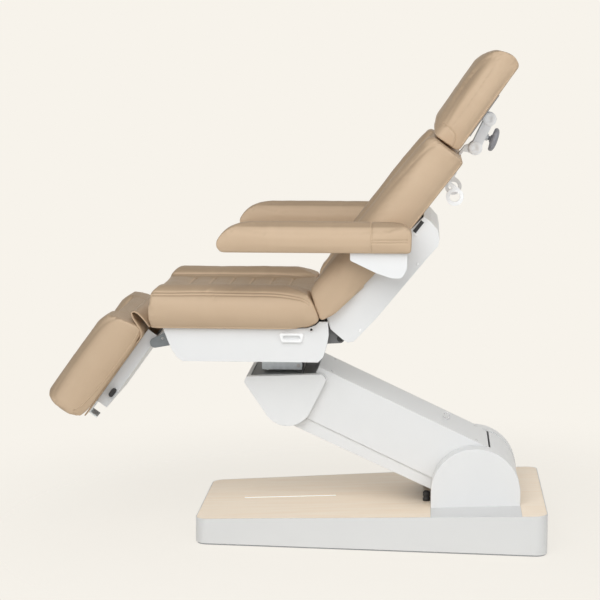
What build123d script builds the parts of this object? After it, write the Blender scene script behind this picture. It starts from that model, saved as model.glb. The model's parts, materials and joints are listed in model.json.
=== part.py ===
from build123d import *
from math import atan2, cos, degrees, radians, sin, sqrt
import os

# Adjustable treatment chair: wooden-topped plinth, parallelogram lift arm, tilting seat,
# reclining back with self-levelling armrests, swinging leg rest and adjustable headrest.
# Millimetres, +Z up, +X towards the head end, -Y the side with the seat strap loop in view.
# The origin lies on the floor under the middle of the plinth.

# General fits
overrun = 5.0
slip = 0.05
side_gap = 0.4
soft_gap = 0.5
quarter_turn = 90.0

# Plinth
plinth_length = 1050.0
plinth_foot_width = 520.0
plinth_head_width = 680.0
plinth_foot_height = 78.0
plinth_head_height = 122.0
plinth_corner = 38.0
plinth_wall = 4.0
plinth_floor_gap = 4.0
board_thickness = 6.0
plinth_rim = 2.0
board_play = 0.4
chassis_thickness = 8.0
strip_length = 285.0
strip_width = 5.0
strip_depth = 4.0
strip_start = 127.0
strip_proud = 0.3
inlet_width = 48.0
inlet_height = 27.0
inlet_depth = 24.0
inlet_flange = 5.0
inlet_flange_thickness = 2.0
inlet_level = 70.0
inlet_side = 220.0
socket_width = 24.0
socket_height = 14.0
socket_depth = 16.0

# Hub
hub_setback = 210.0
hub_x = plinth_length / 2 - hub_setback
hub_z = 155.0
hub_radius = 134.0
hub_cap_inner = 139.0
hub_cap_outer = 196.0
hub_cap_wall = 3.0
hub_cap_edge = 2.5
hub_bracket_inner = 146.0
hub_bracket_thickness = 12.0
hub_bracket_foot = 190.0
hub_bracket_head = 90.0
hub_shaft_radius = 15.0
link_shaft_radius = 6.5
deck_opening_inset = 6.0
deck_opening_half = 162.0
buffer_radius = 11.0
buffer_top = 137.0
buffer_setback = 147.0
buffer_x = hub_x - buffer_setback
buffer_y = 100.0

# Lift arm: a parallelogram with the link pivots below the arm pivots
arm_angle = 25.2
arm_length = 627.6
arm_low = -15.0
arm_high = 19.0
arm_half = 137.0
arm_wall = 2.5
arm_depth_above = 132.0
arm_cover_low = -27.0
arm_cover_front = 41.0
arm_plate_inner = 62.0
arm_plate_thickness = 10.0
arm_plate_height = 46.0
arm_tube_wall = 7.0
arm_cross_radius = 13.0
arm_bridge_thickness = 6.0
arm_bridge_hub = 58.0
arm_bridge_front = 84.0
arm_bridge_low = 24.0
arm_slot_width = 7.0
arm_slot_back = 15.0
arm_slot_half = 124.0
arm_slot_hook = 18.0
arm_screw_radius = 5.0
arm_screw_head = 1.5
arm_screw_y = 110.0
loop_radius = 9.0
loop_wire = 1.6
loop_place = 162.0
link_drop = 48.0
link_plate_inner = 76.0
link_plate_thickness = 8.0
link_plate_height = 18.0
link_boss_radius = 13.0
link_cover_half = 132.5
link_cover_wall = 2.5
link_cover_high = 17.0
link_cover_low_hub = -17.0
link_cover_low_front = -23.0
link_cover_hub_end = 112.0
link_cover_front_end = 6.0
link_skin_hub_end = 205.0
link_bridge_place_share = 0.45
lift_lever = 88.0
lift_lever_inner = 10.0
lever_thickness = 6.0
lever_half_width = 11.0

# Linear drives: a motor with a guide tube, and a rod that ends in a slotted yoke
drive_pin_radius = 5.0
drive_pin_play = 1.2
yoke_margin = 7.0
yoke_thickness = 14.0
rod_clearance = 0.5
tube_wall = 4.0
lift_rod_radius = 8.0
lift_rod_length = 190.0
lift_tube_length = 130.0
lift_tube_start = 75.0
lift_motor_radius = 20.0
lift_motor_length = 110.0
lift_foot_width = 60.0
lift_foot_length = 20.0

# Carrier on top of the lift arm
carrier_half = 165.0
carrier_wall = 4.0
carrier_inner = 139.0
carrier_radius = 76.0
carrier_top = 74.0
carrier_rear_rise = 9.0
carrier_front_reach = 131.0
carrier_rear_reach = 118.0
carrier_corner = 14.0
carrier_corner_drop = 17.0
carrier_block_half = 55.0
carrier_block_front = 50.0
carrier_block_rear = 36.0
carrier_block_low = 66.0
carrier_plate_top = 70.0
carrier_plate_thickness = 8.0
carrier_plate_front = 118.0
carrier_plate_rear = 40.0
carrier_pin_radius = 12.5
tilt_pin_radius = 6.0
tilt_offset_x = 26.0
tilt_offset_z = 89.0
tilt_lug_inner = 30.0
tilt_lug_thickness = 10.0
tilt_lug_radius = 12.0
tilt_low = 0.0
tilt_high = 12.0
tilt_lever = 96.0
tilt_rod_radius = 6.0
tilt_rod_length = 52.0
tilt_tube_start = 20.0
tilt_tube_length = 18.0
tilt_motor_radius = 17.0
tilt_motor_length = 32.0
drive_foot_width = 30.0
tilt_plate_half = 60.0
tilt_plate_sheet = 5.0
tilt_plate_front = 112.0
tilt_plate_rear = 10.0
tilt_web_drop = 12.0

# Seat
seat_front = 403.0
seat_rear = 103.0
tub_floor = 135.0
tub_side_room = 35.0
tub_wall = 3.0
tub_front_top = 363.0
tub_rear_top = 129.0
tub_rear_notch = 9.0
cushion_base = 234.0
seat_cushion_height = 134.0
seat_cushion_half = 300.0
seat_pan_thickness = 5.0
seat_rail_height = 45.0
seat_rail_width = 28.0
seat_rail_y = 150.0
seat_cross_width = 30.0
seat_frame_front = 325.0
seat_frame_rear = 85.0
seat_frame_wall = 3.0
lug_thickness = 6.0
lug_inner = 10.0
lug_radius = 9.0
channel_pitch = 62.0
channel_count = 6
channel_radius = 9.0
channel_depth = 6.0
channel_half = 165.0
channel_first = 92.0
strap_loop_x = 20.0
strap_loop_z = 209.0
strap_loop_length = 74.0
strap_loop_height = 27.0
strap_loop_taper = 8.0
strap_loop_bar = 7.0
strap_loop_depth = 9.0
strap_loop_corner = 5.0
eyelet_x = 78.0
eyelet_z = 233.0
eyelet_radius = 8.0
eyelet_flange = 2.0
eyelet_body_radius = 6.0
eyelet_hole_radius = 4.0
eyelet_length = 20.0

# Back
back_angle = 52.3
back_pivot_x = 161.0
back_pivot_z = 201.0
back_low = 0.0
back_high = 47.0
back_length = 628.0
back_start = 12.0
back_rear = 37.0
back_thickness = 142.0
back_half = 290.0
back_plate_inner = 203.0
back_plate_thickness = 10.0
back_hinge_play = 2.0
back_hinge_inner = back_plate_inner + back_plate_thickness + back_hinge_play
back_hinge_thickness = 8.0
back_hinge_pin = 9.0
back_hinge_ear = 13.0
hinge_plate_rise = 24.0
hinge_plate_lip = 0.8
tub_half = back_hinge_inner + back_hinge_thickness + tub_side_room
shell_side_room = 27.0
shell_half = back_plate_inner + back_plate_thickness + shell_side_room
shell_wall = 3.0
shell_depth = 54.0
back_frame_length = 430.0
shell_margin = 24.0
shell_length = back_frame_length + shell_margin
back_frame_depth = 52.0
back_pan_start = 225.0
back_pan_thickness = 3.0
back_cross_size = 22.0
back_cross_first = 62.0
back_cross_margin = 30.0
back_cross_last = back_frame_length - back_cross_margin
back_channel_first = 108.0
back_channel_count = 7
recline_lever = 24.0
recline_rod_radius = 5.0
recline_rod_length = 110.0
recline_tube_start = 45.0
recline_tube_length = 70.0
recline_motor_radius = 17.0
recline_motor_length = 90.0
post_level = 50.4
post_thickness = 8.0
post_width = 44.0
post_tail = 70.0
post_reach = 40.0
post_head = back_length + post_reach
sleeve_wall = 3.0
sleeve_play = 0.4
sleeve_lap = 70.0
sleeve_start = back_frame_length - sleeve_lap
post_start = sleeve_start - post_tail
sleeve_margin = 6.0
sleeve_end = back_length - sleeve_margin
tag_length = 40.0
tag_width = 11.0
tag_thickness = 1.2
tag_setback = 47.0
tag_place = shell_length - tag_setback
tag_level = 24.5
shell_screw_radius = 4.0
shell_screw_head = 1.2
ring_outer = 26.0
ring_inner = 15.0
ring_width = 14.0
ring_y = 200.0
ring_reach = 109.0
ring_place = back_frame_length + ring_reach
ring_level = -7.0
ring_plate_length = 44.0
ring_stem_share = 0.8
ring_stem = 12.0
ring_plate_thickness = 5.0

# Armrests
arm_shaft_place = 284.8
arm_shaft_level = 2.7
arm_shaft_radius = 12.5
arm_shaft_bore_depth = 34.0
arm_lever_radius = 18.0
level_play = 0.6
level_offset = 24.0
level_rod_inset = 17.0
level_rod_y = back_plate_inner - level_rod_inset
level_rod_thickness = 6.0
level_rod_width = 13.0
level_pin_radius = 4.0
armrest_gap = 12.0
armrest_inner = back_half + armrest_gap
armrest_width = 96.0
armrest_front = 525.0
armrest_rear = 39.0
armrest_low = 46.0
armrest_height = 86.0
wing_inner_inset = 16.0
wing_outer_inset = 26.0
wing_inner = armrest_inner + wing_inner_inset
wing_outer = armrest_inner + armrest_width - wing_outer_inset
wing_front = 137.0
wing_rear = 27.0
wing_low = 27.0
wing_front_drop = 22.0
wing_corner = 14.0
wing_toe_share = 0.45
wing_heel_share = 0.65

# Leg rest
leg_angle = 54.2
leg_pivot_x = 394.0
leg_pivot_z = 181.0
leg_low = -20.0
leg_high = 50.0
leg_pin_radius = 7.0
leg_frame_half = 200.0
leg_frame_wall = 3.0
leg_frame_low = 4.0
leg_frame_high = 40.0
leg_frame_start = -250.0
leg_frame_end = 20.0
leg_ear_radius = 15.0
leg_ear_thickness = 8.0
leg_side_play = 3.0
leg_bracket_inner = leg_frame_half + leg_side_play
leg_bracket_thickness = 6.0
leg_bracket_hole = 9.0
leg_bracket_hole_share = 0.333
leg_bracket_hole_rise = 5.0
leg_lever = 24.0
leg_rod_radius = 5.0
leg_rod_length = 120.0
leg_tube_start = 68.0
leg_tube_length = 90.0
leg_motor_radius = 21.0
leg_motor_length = 90.0
leg_board_thickness = 4.0
leg_runner_width = 20.0
leg_runner_height = 20.0
leg_runner_start = -235.0
leg_runner_end = -20.0
leg_cushion_length = 339.0
leg_cushion_end = 23.0
leg_cushion_thickness = 136.0
leg_cushion_half = 290.0
leg_channel_first = 78.0
leg_channel_count = 4
leg_board_half = 230.0
leg_board_margin = 14.0
latch_place = -200.0
latch_level = 16.0
latch_length = 28.0
latch_height = 15.0
latch_depth = 14.0
latch_stem = 4.0
end_bracket_length = 44.0
end_bracket_width = 60.0
end_bracket_sheet = 4.0
flap_thickness = 3.0
flap_half = 270.0
flap_reach = 31.0
flap_rise = 33.0
flap_offset = 1.5

# Headrest
lower_joint_reach = 13.9
lower_joint_place = post_head + lower_joint_reach
lower_joint_level = 25.3
head_angle = 55.0
head_link_reach = 42.0
head_link_rise = 87.0
head_joint_radius = 21.0
knuckle_radius = 17.0
knuckle_half = 18.0
cheek_thickness = 12.0
cheek_neck = 15.0
head_pin_radius = 6.0
head_cushion_length = 322.0
head_cushion_low = -130.0
head_cushion_rear = 24.5
head_cushion_thickness = 106.0
head_cushion_half = 165.0
head_plate_thickness = 6.0
head_plate_length = 150.0
head_plate_width = 130.0
wheel_radius = 36.5
wheel_thickness = 24.0
wheel_place_share = 0.43
wheel_reach = 40.0
wheel_lobe_count = 8
wheel_lobe_radius = 5.0
stud_radius = 6.0
stud_boss_radius = 10.0
stud_boss_length = 12.0
wheel_tilt = -19.0

# Control box in the plinth
control_length = 150.0
control_width = 110.0
control_height = 42.0
control_x = -190.0
control_y = 60.0


def turned(vector, angle):
    """A vector of the XZ plane turned by an angle about +Y, which lifts the foot side."""
    turn = radians(angle)
    x, z = vector
    return (x * cos(turn) + z * sin(turn), -x * sin(turn) + z * cos(turn))


def shifted(point, vector, scale=1.0):
    """A point of the XZ plane moved along a vector."""
    return (point[0] + vector[0] * scale, point[1] + vector[1] * scale)


def side_plane(point, angle):
    """Side view plane at a point, its x along the angle above +X and its normal along -Y."""
    turn = radians(angle)
    return Plane(origin=(point[0], 0, point[1]), x_dir=(cos(turn), 0, sin(turn)), z_dir=(0, -1, 0))


def cross_plane(point, angle):
    """Section plane at a point, its x along +Y and its normal along the angle above +X."""
    turn = radians(angle)
    return Plane(origin=(point[0], 0, point[1]), x_dir=(0, 1, 0), z_dir=(cos(turn), 0, sin(turn)))


def in_frame(point, angle, along, level):
    """Place of a point given along and square to a tilted direction."""
    turn = radians(angle)
    return (
        point[0] + along * cos(turn) - level * sin(turn),
        point[1] + along * sin(turn) + level * cos(turn),
    )


def yoke_share(low, high):
    """Mean travel of a crank pin along its yoke for each radian, as a share of the crank."""
    half = radians(high - low) / 2
    return sin(half) / half


def yoke_level(crank, low, high):
    """Mean distance of a crank pin from the crank's centre, square to the rod."""
    return crank * (1 + cos(radians(high - low) / 2)) / 2


# Outlines as shares of a length and a thickness: corners, and between them arc middles or None
panel_share = 0.765
seat_side_shares = [
    (0.8, 0.0), None,
    (0.032, 0.0), (0.0136, 0.0293),
    (0.006, 0.1), (0.0, 0.38),
    (0.008, 0.69), (0.03, 0.88),
    (0.1, 0.962), (0.4, 0.958),
    (0.69, 1.0), (0.83, 0.955),
    (0.93, 0.79), (0.968, 0.56),
    (1.0, 0.24), (0.975, 0.14),
    (0.92, 0.06), None,
    (0.8, 0.0),
]
bolster_shares = [
    (0.0, panel_share), None,
    (0.57, panel_share), (0.65, 0.9),
    (0.77, 0.98), (0.93, 0.87),
    (1.0, 0.5), (0.985, 0.2),
    (0.93, 0.04), None,
    (0.9, -0.05), None,
    (0.0, -0.05),
]
back_side_shares = [
    (0.38, 0.0), None,
    (0.19, 0.075), None,
    (0.1, 0.14), (0.045, 0.21),
    (0.006, 0.317), (0.045, 0.6),
    (0.08, 0.83), (0.1, 0.875),
    (0.15, 0.885), (0.37, 0.945),
    (0.594, 0.99), (0.77, 0.97),
    (0.944, 0.915), (0.985, 0.885),
    (0.998, 0.83), None,
    (0.998, 0.1), (0.994, 0.03),
    (0.98, 0.0), None,
    (0.38, 0.0),
]
leg_side_shares = [
    (0.124, 0.0), None,
    (0.03, 0.055), (0.0, 0.45),
    (0.02, 0.9), (0.045, 0.97),
    (0.13, 1.0), None,
    (0.7, 1.0), (0.83, 0.965),
    (0.93, 0.86), (0.975, 0.55),
    (1.0, 0.24), (0.985, 0.08),
    (0.92, 0.0), None,
    (0.124, 0.0),
]
head_side_shares = [
    (0.09, 0.0), None,
    (0.87, 0.0), (0.975, 0.06),
    (1.0, 0.42), (0.975, 0.72),
    (0.925, 0.86), (0.85, 0.965),
    (0.73, 1.0), None,
    (0.15, 1.0), (0.045, 0.95),
    (0.0, 0.76), None,
    (0.0, 0.12), (0.02, 0.03),
    (0.09, 0.0),
]
arm_side_shares = [
    (0.05, 0.0), None,
    (0.9817, 0.0), (0.9947, 0.0351),
    (1.0, 0.12), None,
    (1.0, 0.45), (0.985, 0.83),
    (0.93, 0.975), (0.6, 1.0),
    (0.2, 0.975), (0.07, 0.85),
    (0.01, 0.45), (0.01, 0.13),
    (0.05, 0.0),
]
crown_shares = [
    (0.0, 1.03), (0.42, 1.0),
    (0.8, 0.92), (0.96, 0.77),
    (1.0, 0.5), (0.985, 0.2),
    (0.92, 0.04), None,
    (0.88, -0.1), None,
    (0.0, -0.1),
]
tub_front_shares = [(0.838, 0.0), (0.885, 0.12), (0.925, 0.33), (0.96, 0.62), (1.0, 1.0)]
tub_rear_shares = [
    (0.03, 1.0), (0.5, 1.035), (0.7, 1.12), (0.79, 1.23), (0.98, 1.23),
    (1.0, 0.83), (0.961, 0.52), (0.915, 0.34), (0.876, 0.16), (0.76, 0.0),
]
shell_outline_shares = [
    (0.066, 1.37), (0.018, 0.74), (0.013, -0.11), (0.018, -0.43), (0.046, -0.66), (0.075, -0.69),
    (0.262, -0.85), (0.753, -0.98), (0.877, -1.04), (0.914, -0.89), (0.956, -0.48), (0.97, 0.07),
    (0.97, 0.56), (0.861, 0.66), (0.861, 0.9), (0.3, 1.1),
]
shell_screw_shares = [(0.846, 0.296), (0.703, -0.778), (0.13, -0.556)]

# Places that several sub-assemblies share
hub = (hub_x, hub_z)
carrier = shifted(hub, (-cos(radians(arm_angle)), sin(radians(arm_angle))), arm_length)
tilt_axis = shifted(carrier, (tilt_offset_x, tilt_offset_z))
back_pivot = shifted(carrier, (back_pivot_x, back_pivot_z))
leg_pivot = shifted(carrier, (-leg_pivot_x, leg_pivot_z))
arm_pivot = in_frame(back_pivot, back_angle, arm_shaft_place, arm_shaft_level)
lower_joint = in_frame(back_pivot, back_angle, lower_joint_place, lower_joint_level)
upper_joint = shifted(lower_joint, (head_link_reach, head_link_rise))
level_low = in_frame(back_pivot, back_angle, 0, level_offset)
level_high = in_frame(arm_pivot, back_angle, 0, level_offset)
base_level = carrier[1] + cushion_base
seat_front_x = carrier[0] - seat_front


def top_plane(drop):
    """Sloping top of the plinth, or a layer at a drop below it."""
    rise = plinth_head_height - plinth_foot_height
    start = (-plinth_length / 2, 0, plinth_foot_height - drop)
    return Plane(origin=start, x_dir=(plinth_length, 0, rise), z_dir=(-rise, 0, plinth_length))


def plinth_block(inset, bottom, drop):
    """Block with the plinth's plan, from a level bottom to the sloping top less a drop."""
    half = plinth_length / 2
    plan = [
        (-half, -plinth_foot_width / 2),
        (half, -plinth_head_width / 2),
        (half, plinth_head_width / 2),
        (-half, plinth_foot_width / 2),
    ]
    with BuildPart() as block:
        with BuildSketch(Plane.XY.offset(bottom)):
            with BuildLine():
                FilletPolyline(*plan, radius=plinth_corner, close=True)
            make_face()
            if inset > 0:
                offset(amount=-inset)
        extrude(amount=plinth_head_height)
        split(bisect_by=top_plane(drop), keep=Keep.BOTTOM)
    return block.part


def drive_body(place, rod_radius, tube_start, tube_length, motor_radius, motor_length):
    """Guide tube and motor of a linear drive, measured from its yoke along the rod."""
    bore = rod_radius + rod_clearance
    with BuildPart(place) as body:
        with Locations((tube_start + tube_length / 2, 0, 0)):
            Cylinder(bore + tube_wall, tube_length, rotation=(0, quarter_turn, 0))
        with Locations((tube_start + tube_length + motor_length / 2, 0, 0)):
            Cylinder(motor_radius, motor_length, rotation=(0, quarter_turn, 0))
        with Locations((tube_start + (tube_length + motor_length) / 2, 0, 0)):
            Cylinder(bore, tube_length + motor_length, rotation=(0, quarter_turn, 0), mode=Mode.SUBTRACT)
        with Locations((tube_start + tube_length + motor_length, 0, 0)):
            Cylinder(motor_radius, tube_wall, rotation=(0, quarter_turn, 0))
    return body.part


def drive_rod(place, rod_radius, rod_length, slot_height):
    """Rod of a linear drive with its slotted yoke, whose slot is centred on the origin."""
    slot_width = 2 * (drive_pin_radius + drive_pin_play)
    yoke_length = slot_width + 2 * yoke_margin
    yoke_height = slot_height + 2 * yoke_margin
    with BuildPart(place) as rod:
        Box(yoke_length, yoke_height, yoke_thickness)
        with Locations((yoke_length / 2 + rod_length / 2, 0, 0)):
            Cylinder(rod_radius, rod_length, rotation=(0, quarter_turn, 0))
        Box(slot_width, slot_height, yoke_thickness + overrun, mode=Mode.SUBTRACT)
    return rod.part


def slot_height(crank, low, high):
    """Height that a crank pin needs inside its yoke."""
    return crank * (1 - cos(radians(high - low) / 2)) + 2 * (drive_pin_radius + drive_pin_play)


def arc_chain(points):
    """Lines and arcs through the points: every second one is the middle of an arc, or None."""
    for index in range(0, len(points) - 2, 2):
        start, middle, end = points[index:index + 3]
        if middle is None:
            Line(start, end)
        else:
            ThreePointArc(start, middle, end)


def scaled(shares, width, height):
    """Points of an outline from shares of its width and height."""
    return [None if share is None else (share[0] * width, share[1] * height) for share in shares]


def padded_body(point, angle, start, level, length, thickness, half_width, side_shares, end_shares):
    """Upholstered body: a crowned side outline cut by a crowned cross-section."""
    origin = in_frame(point, angle, start, level)
    with BuildPart() as body:
        with BuildSketch(side_plane(origin, angle)):
            with BuildLine():
                arc_chain(scaled(side_shares, length, thickness))
            make_face()
        extrude(amount=half_width, both=True)
        with BuildSketch(cross_plane(origin, angle)):
            with BuildLine():
                half_outline = scaled(end_shares, half_width, thickness)
                arc_chain(half_outline)
                Line(half_outline[-1], half_outline[0])
            make_face()
            mirror(about=Plane.YZ)
        extrude(amount=length + overrun, both=True, mode=Mode.INTERSECT)
    return body.part


def slab(place, along, level, across):
    """Block in a tilted side frame, between two places along it, square to it and across."""
    with BuildPart() as block:
        with BuildSketch(place.offset(across[0])):
            with Locations(((along[0] + along[1]) / 2, (level[0] + level[1]) / 2)):
                Rectangle(along[1] - along[0], level[1] - level[0])
        extrude(amount=across[1] - across[0])
    return block.part


def lug(inner, thickness, root, root_size, spot, radius):
    """Tapered plate on the near side, from a square root to a rounded end about a pin's place."""
    with BuildPart() as plate:
        with BuildSketch(Plane.XZ.offset(inner)):
            with Locations(spot):
                Circle(radius)
            with Locations(root):
                Rectangle(*root_size)
            make_hull()
        extrude(amount=thickness)
    return plate.part


def channel_cuts(place, first, count, level):
    """Rounded grooves across a cushion, cut into its panel at a level."""
    centre_level = level + channel_radius - channel_depth
    with BuildPart(place) as cuts:
        with Locations(*[(first + index * channel_pitch, centre_level, 0) for index in range(count)]):
            Cylinder(channel_radius, 2 * channel_half)
    return cuts.part


def board_layer(inset, start, end):
    """Sloping layer just under the plinth's top, between two places along its length."""
    with BuildPart() as layer:
        add(plinth_block(inset, 0, 0))
        add(plinth_block(0, 0, board_thickness), mode=Mode.SUBTRACT)
        with Locations(((start + end) / 2, 0, plinth_head_height / 2)):
            Box(end - start, plinth_head_width, plinth_head_height + overrun, mode=Mode.INTERSECT)
    return layer.part


os.makedirs("parts", exist_ok=True)


# Base: chassis plate with two upright brackets that carry the lift arm
with BuildPart() as base_chassis:
    add(plinth_block(plinth_wall, 0, 0))
    with Locations((0, 0, chassis_thickness)):
        Box(plinth_length, plinth_head_width, plinth_head_height,
            align=(Align.CENTER, Align.CENTER, Align.MIN), mode=Mode.SUBTRACT)
    bracket_half = hub_bracket_foot / 2
    bracket_top = hub_bracket_head / 2
    bracket_outline = [
        (hub_x - bracket_half, chassis_thickness),
        (hub_x + bracket_half, chassis_thickness),
        (hub_x + bracket_top, hub_z + bracket_top),
        (hub_x - bracket_top, hub_z + bracket_top),
    ]
    with BuildSketch(Plane.XZ.offset(hub_bracket_inner)):
        with BuildLine():
            FilletPolyline(*bracket_outline, radius=(0, 0, bracket_top / 2, bracket_top / 2), close=True)
        make_face()
        with Locations((hub_x, hub_z)):
            Circle(hub_shaft_radius, mode=Mode.SUBTRACT)
        with Locations((hub_x, hub_z - link_drop)):
            Circle(link_shaft_radius, mode=Mode.SUBTRACT)
    extrude(amount=hub_bracket_thickness)
    mirror(about=Plane.XZ)
base_chassis.part.label = "base_chassis"
export_step(base_chassis.part, "parts/base_chassis.step")

# Shafts: one through shaft for the arm and two stub shafts for the lower link
bracket_outer = hub_bracket_inner + hub_bracket_thickness
with BuildPart() as hub_shafts:
    with Locations((hub_x, 0, hub_z)):
        Cylinder(hub_shaft_radius, 2 * bracket_outer, rotation=(quarter_turn, 0, 0))
    stub_length = bracket_outer - link_plate_inner + side_gap
    with Locations((hub_x, bracket_outer - stub_length / 2, hub_z - link_drop)):
        Cylinder(link_shaft_radius, stub_length, rotation=(quarter_turn, 0, 0))
    mirror(about=Plane.XZ)
hub_shafts.part.label = "hub_shafts"
export_step(hub_shafts.part, "parts/hub_shafts.step")

# Plinth shell: sloping skirt with a deck strip under the hub, open below the lift arm
deck_start = hub_x - hub_radius
deck_end = hub_x + hub_radius
foot_recess = board_layer(plinth_rim, -plinth_length, deck_start)
head_recess = board_layer(plinth_rim, deck_end, plinth_length)
plinth_hollow = plinth_block(plinth_wall, 0, board_thickness + plinth_wall)
inlet_x = plinth_length / 2
with BuildPart() as plinth_shell:
    add(plinth_block(0, plinth_floor_gap, 0))
    add(plinth_hollow, mode=Mode.SUBTRACT)
    add(foot_recess, mode=Mode.SUBTRACT)
    add(head_recess, mode=Mode.SUBTRACT)
    with Locations((hub_x, 0, hub_z)):
        Box(2 * (hub_radius - deck_opening_inset), 2 * deck_opening_half, hub_z, mode=Mode.SUBTRACT)
    with Locations((inlet_x, inlet_side, inlet_level)):
        Box(2 * inlet_depth, inlet_width, inlet_height, mode=Mode.SUBTRACT)
plinth_shell.part.label = "plinth_shell"
export_step(plinth_shell.part, "parts/plinth_shell.step")

# Wooden boards let into the plinth's top, the foot one slotted for the light strip
board_inset = plinth_rim + board_play
strip_middle = strip_start + strip_length / 2
foot_layer = board_layer(board_inset, -plinth_length, deck_start - board_play)
with BuildPart() as plinth_board_foot:
    add(foot_layer)
    with BuildSketch(top_plane(strip_depth)):
        with Locations((strip_middle, 0)):
            Rectangle(strip_length, strip_width)
    extrude(amount=strip_depth + overrun, mode=Mode.SUBTRACT)
plinth_board_foot.part.label = "plinth_board_foot"
export_step(plinth_board_foot.part, "parts/plinth_board_foot.step")

with BuildPart() as plinth_board_head:
    add(board_layer(board_inset, deck_end + board_play, plinth_length))
plinth_board_head.part.label = "plinth_board_head"
export_step(plinth_board_head.part, "parts/plinth_board_head.step")

with BuildPart() as light_strip:
    with BuildSketch(top_plane(strip_depth)):
        with Locations((strip_middle, 0)):
            Rectangle(strip_length, strip_width)
    extrude(amount=strip_depth + strip_proud)
light_strip.part.label = "light_strip"
export_step(light_strip.part, "parts/light_strip.step")

# Mains inlet in the head end of the plinth
with BuildPart() as power_inlet:
    with Locations((inlet_x - inlet_depth / 2, inlet_side, inlet_level)):
        Box(inlet_depth, inlet_width - 2 * board_play, inlet_height - 2 * board_play)
    with Locations((inlet_x + inlet_flange_thickness / 2, inlet_side, inlet_level)):
        Box(inlet_flange_thickness, inlet_width + 2 * inlet_flange, inlet_height + 2 * inlet_flange)
    with Locations((inlet_x + inlet_flange_thickness - socket_depth / 2, inlet_side, inlet_level)):
        Box(socket_depth, socket_width, socket_height, mode=Mode.SUBTRACT)
power_inlet.part.label = "power_inlet"
export_step(power_inlet.part, "parts/power_inlet.step")

# Control box on the chassis plate
with BuildPart() as control_box:
    with Locations((control_x, control_y, chassis_thickness + control_height / 2)):
        Box(control_length, control_width, control_height)
    fillet(control_box.edges().filter_by(Axis.Z), hub_cap_edge)
control_box.part.label = "control_box"
export_step(control_box.part, "parts/control_box.step")

# Two D-shaped covers over the hub brackets, open towards the arm
with BuildPart() as hub_cap_near:
    with BuildSketch(Plane.XZ.offset(hub_cap_inner)):
        with Locations((hub_x, hub_z)):
            Circle(hub_radius)
        with Locations((hub_x, hub_z / 2)):
            Rectangle(2 * hub_radius, hub_z)
    extrude(amount=hub_cap_outer - hub_cap_inner)
    outer_rim = hub_cap_near.faces().sort_by(Axis.Y)[0].edges()
    fillet(outer_rim, hub_cap_edge)
    with BuildSketch(Plane.XZ.offset(hub_cap_inner)):
        with Locations((hub_x, hub_z)):
            Circle(hub_radius - hub_cap_wall)
        with Locations((hub_x, hub_z / 2)):
            Rectangle(2 * (hub_radius - hub_cap_wall), hub_z)
    extrude(amount=hub_cap_outer - hub_cap_inner - hub_cap_wall, mode=Mode.SUBTRACT)
    split(bisect_by=top_plane(0), keep=Keep.TOP)
hub_cap_near.part.label = "hub_cap_near"
export_step(hub_cap_near.part, "parts/hub_cap_near.step")

with BuildPart() as hub_cap_far:
    mirror(hub_cap_near.part, about=Plane.XZ)
hub_cap_far.part.label = "hub_cap_far"
export_step(hub_cap_far.part, "parts/hub_cap_far.step")

# Rubber buffers on the foot board under the arm
with BuildPart() as arm_buffers:
    with Locations((buffer_x, -buffer_y, 0), (buffer_x, buffer_y, 0)):
        Cylinder(buffer_radius, buffer_top, align=(Align.CENTER, Align.CENTER, Align.MIN))
    split(bisect_by=top_plane(0), keep=Keep.TOP)
arm_buffers.part.label = "arm_buffers"
export_step(arm_buffers.part, "parts/arm_buffers.step")

# Lift drive in the plinth, its yoke round the pin of the lever under the hub
lift_middle = (arm_low + arm_high) / 2
lift_share = yoke_share(arm_low, arm_high)
lift_yoke = (
    hub_x + lift_lever * lift_share * radians(lift_middle),
    hub_z - yoke_level(lift_lever, arm_low, arm_high),
)
lift_place = side_plane(lift_yoke, 2 * quarter_turn)
lift_body = drive_body(
    lift_place, lift_rod_radius, lift_tube_start, lift_tube_length, lift_motor_radius, lift_motor_length
)
lift_foot_height = lift_yoke[1] - lift_rod_radius - tube_wall - chassis_thickness
lift_foot_x = lift_yoke[0] - lift_tube_start - lift_tube_length / 2
with BuildPart() as lift_drive:
    add(lift_body)
    with Locations((lift_foot_x, 0, chassis_thickness + lift_foot_height / 2)):
        Box(lift_foot_length, lift_foot_width, lift_foot_height)
lift_drive.part.label = "lift_drive"
export_step(lift_drive.part, "parts/lift_drive.step")

lift_slot = slot_height(lift_lever, arm_low, arm_high)
with BuildPart() as lift_rod:
    add(drive_rod(lift_place, lift_rod_radius, lift_rod_length, lift_slot))
lift_rod.part.label = "lift_rod"
export_step(lift_rod.part, "parts/lift_rod.step")

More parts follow.
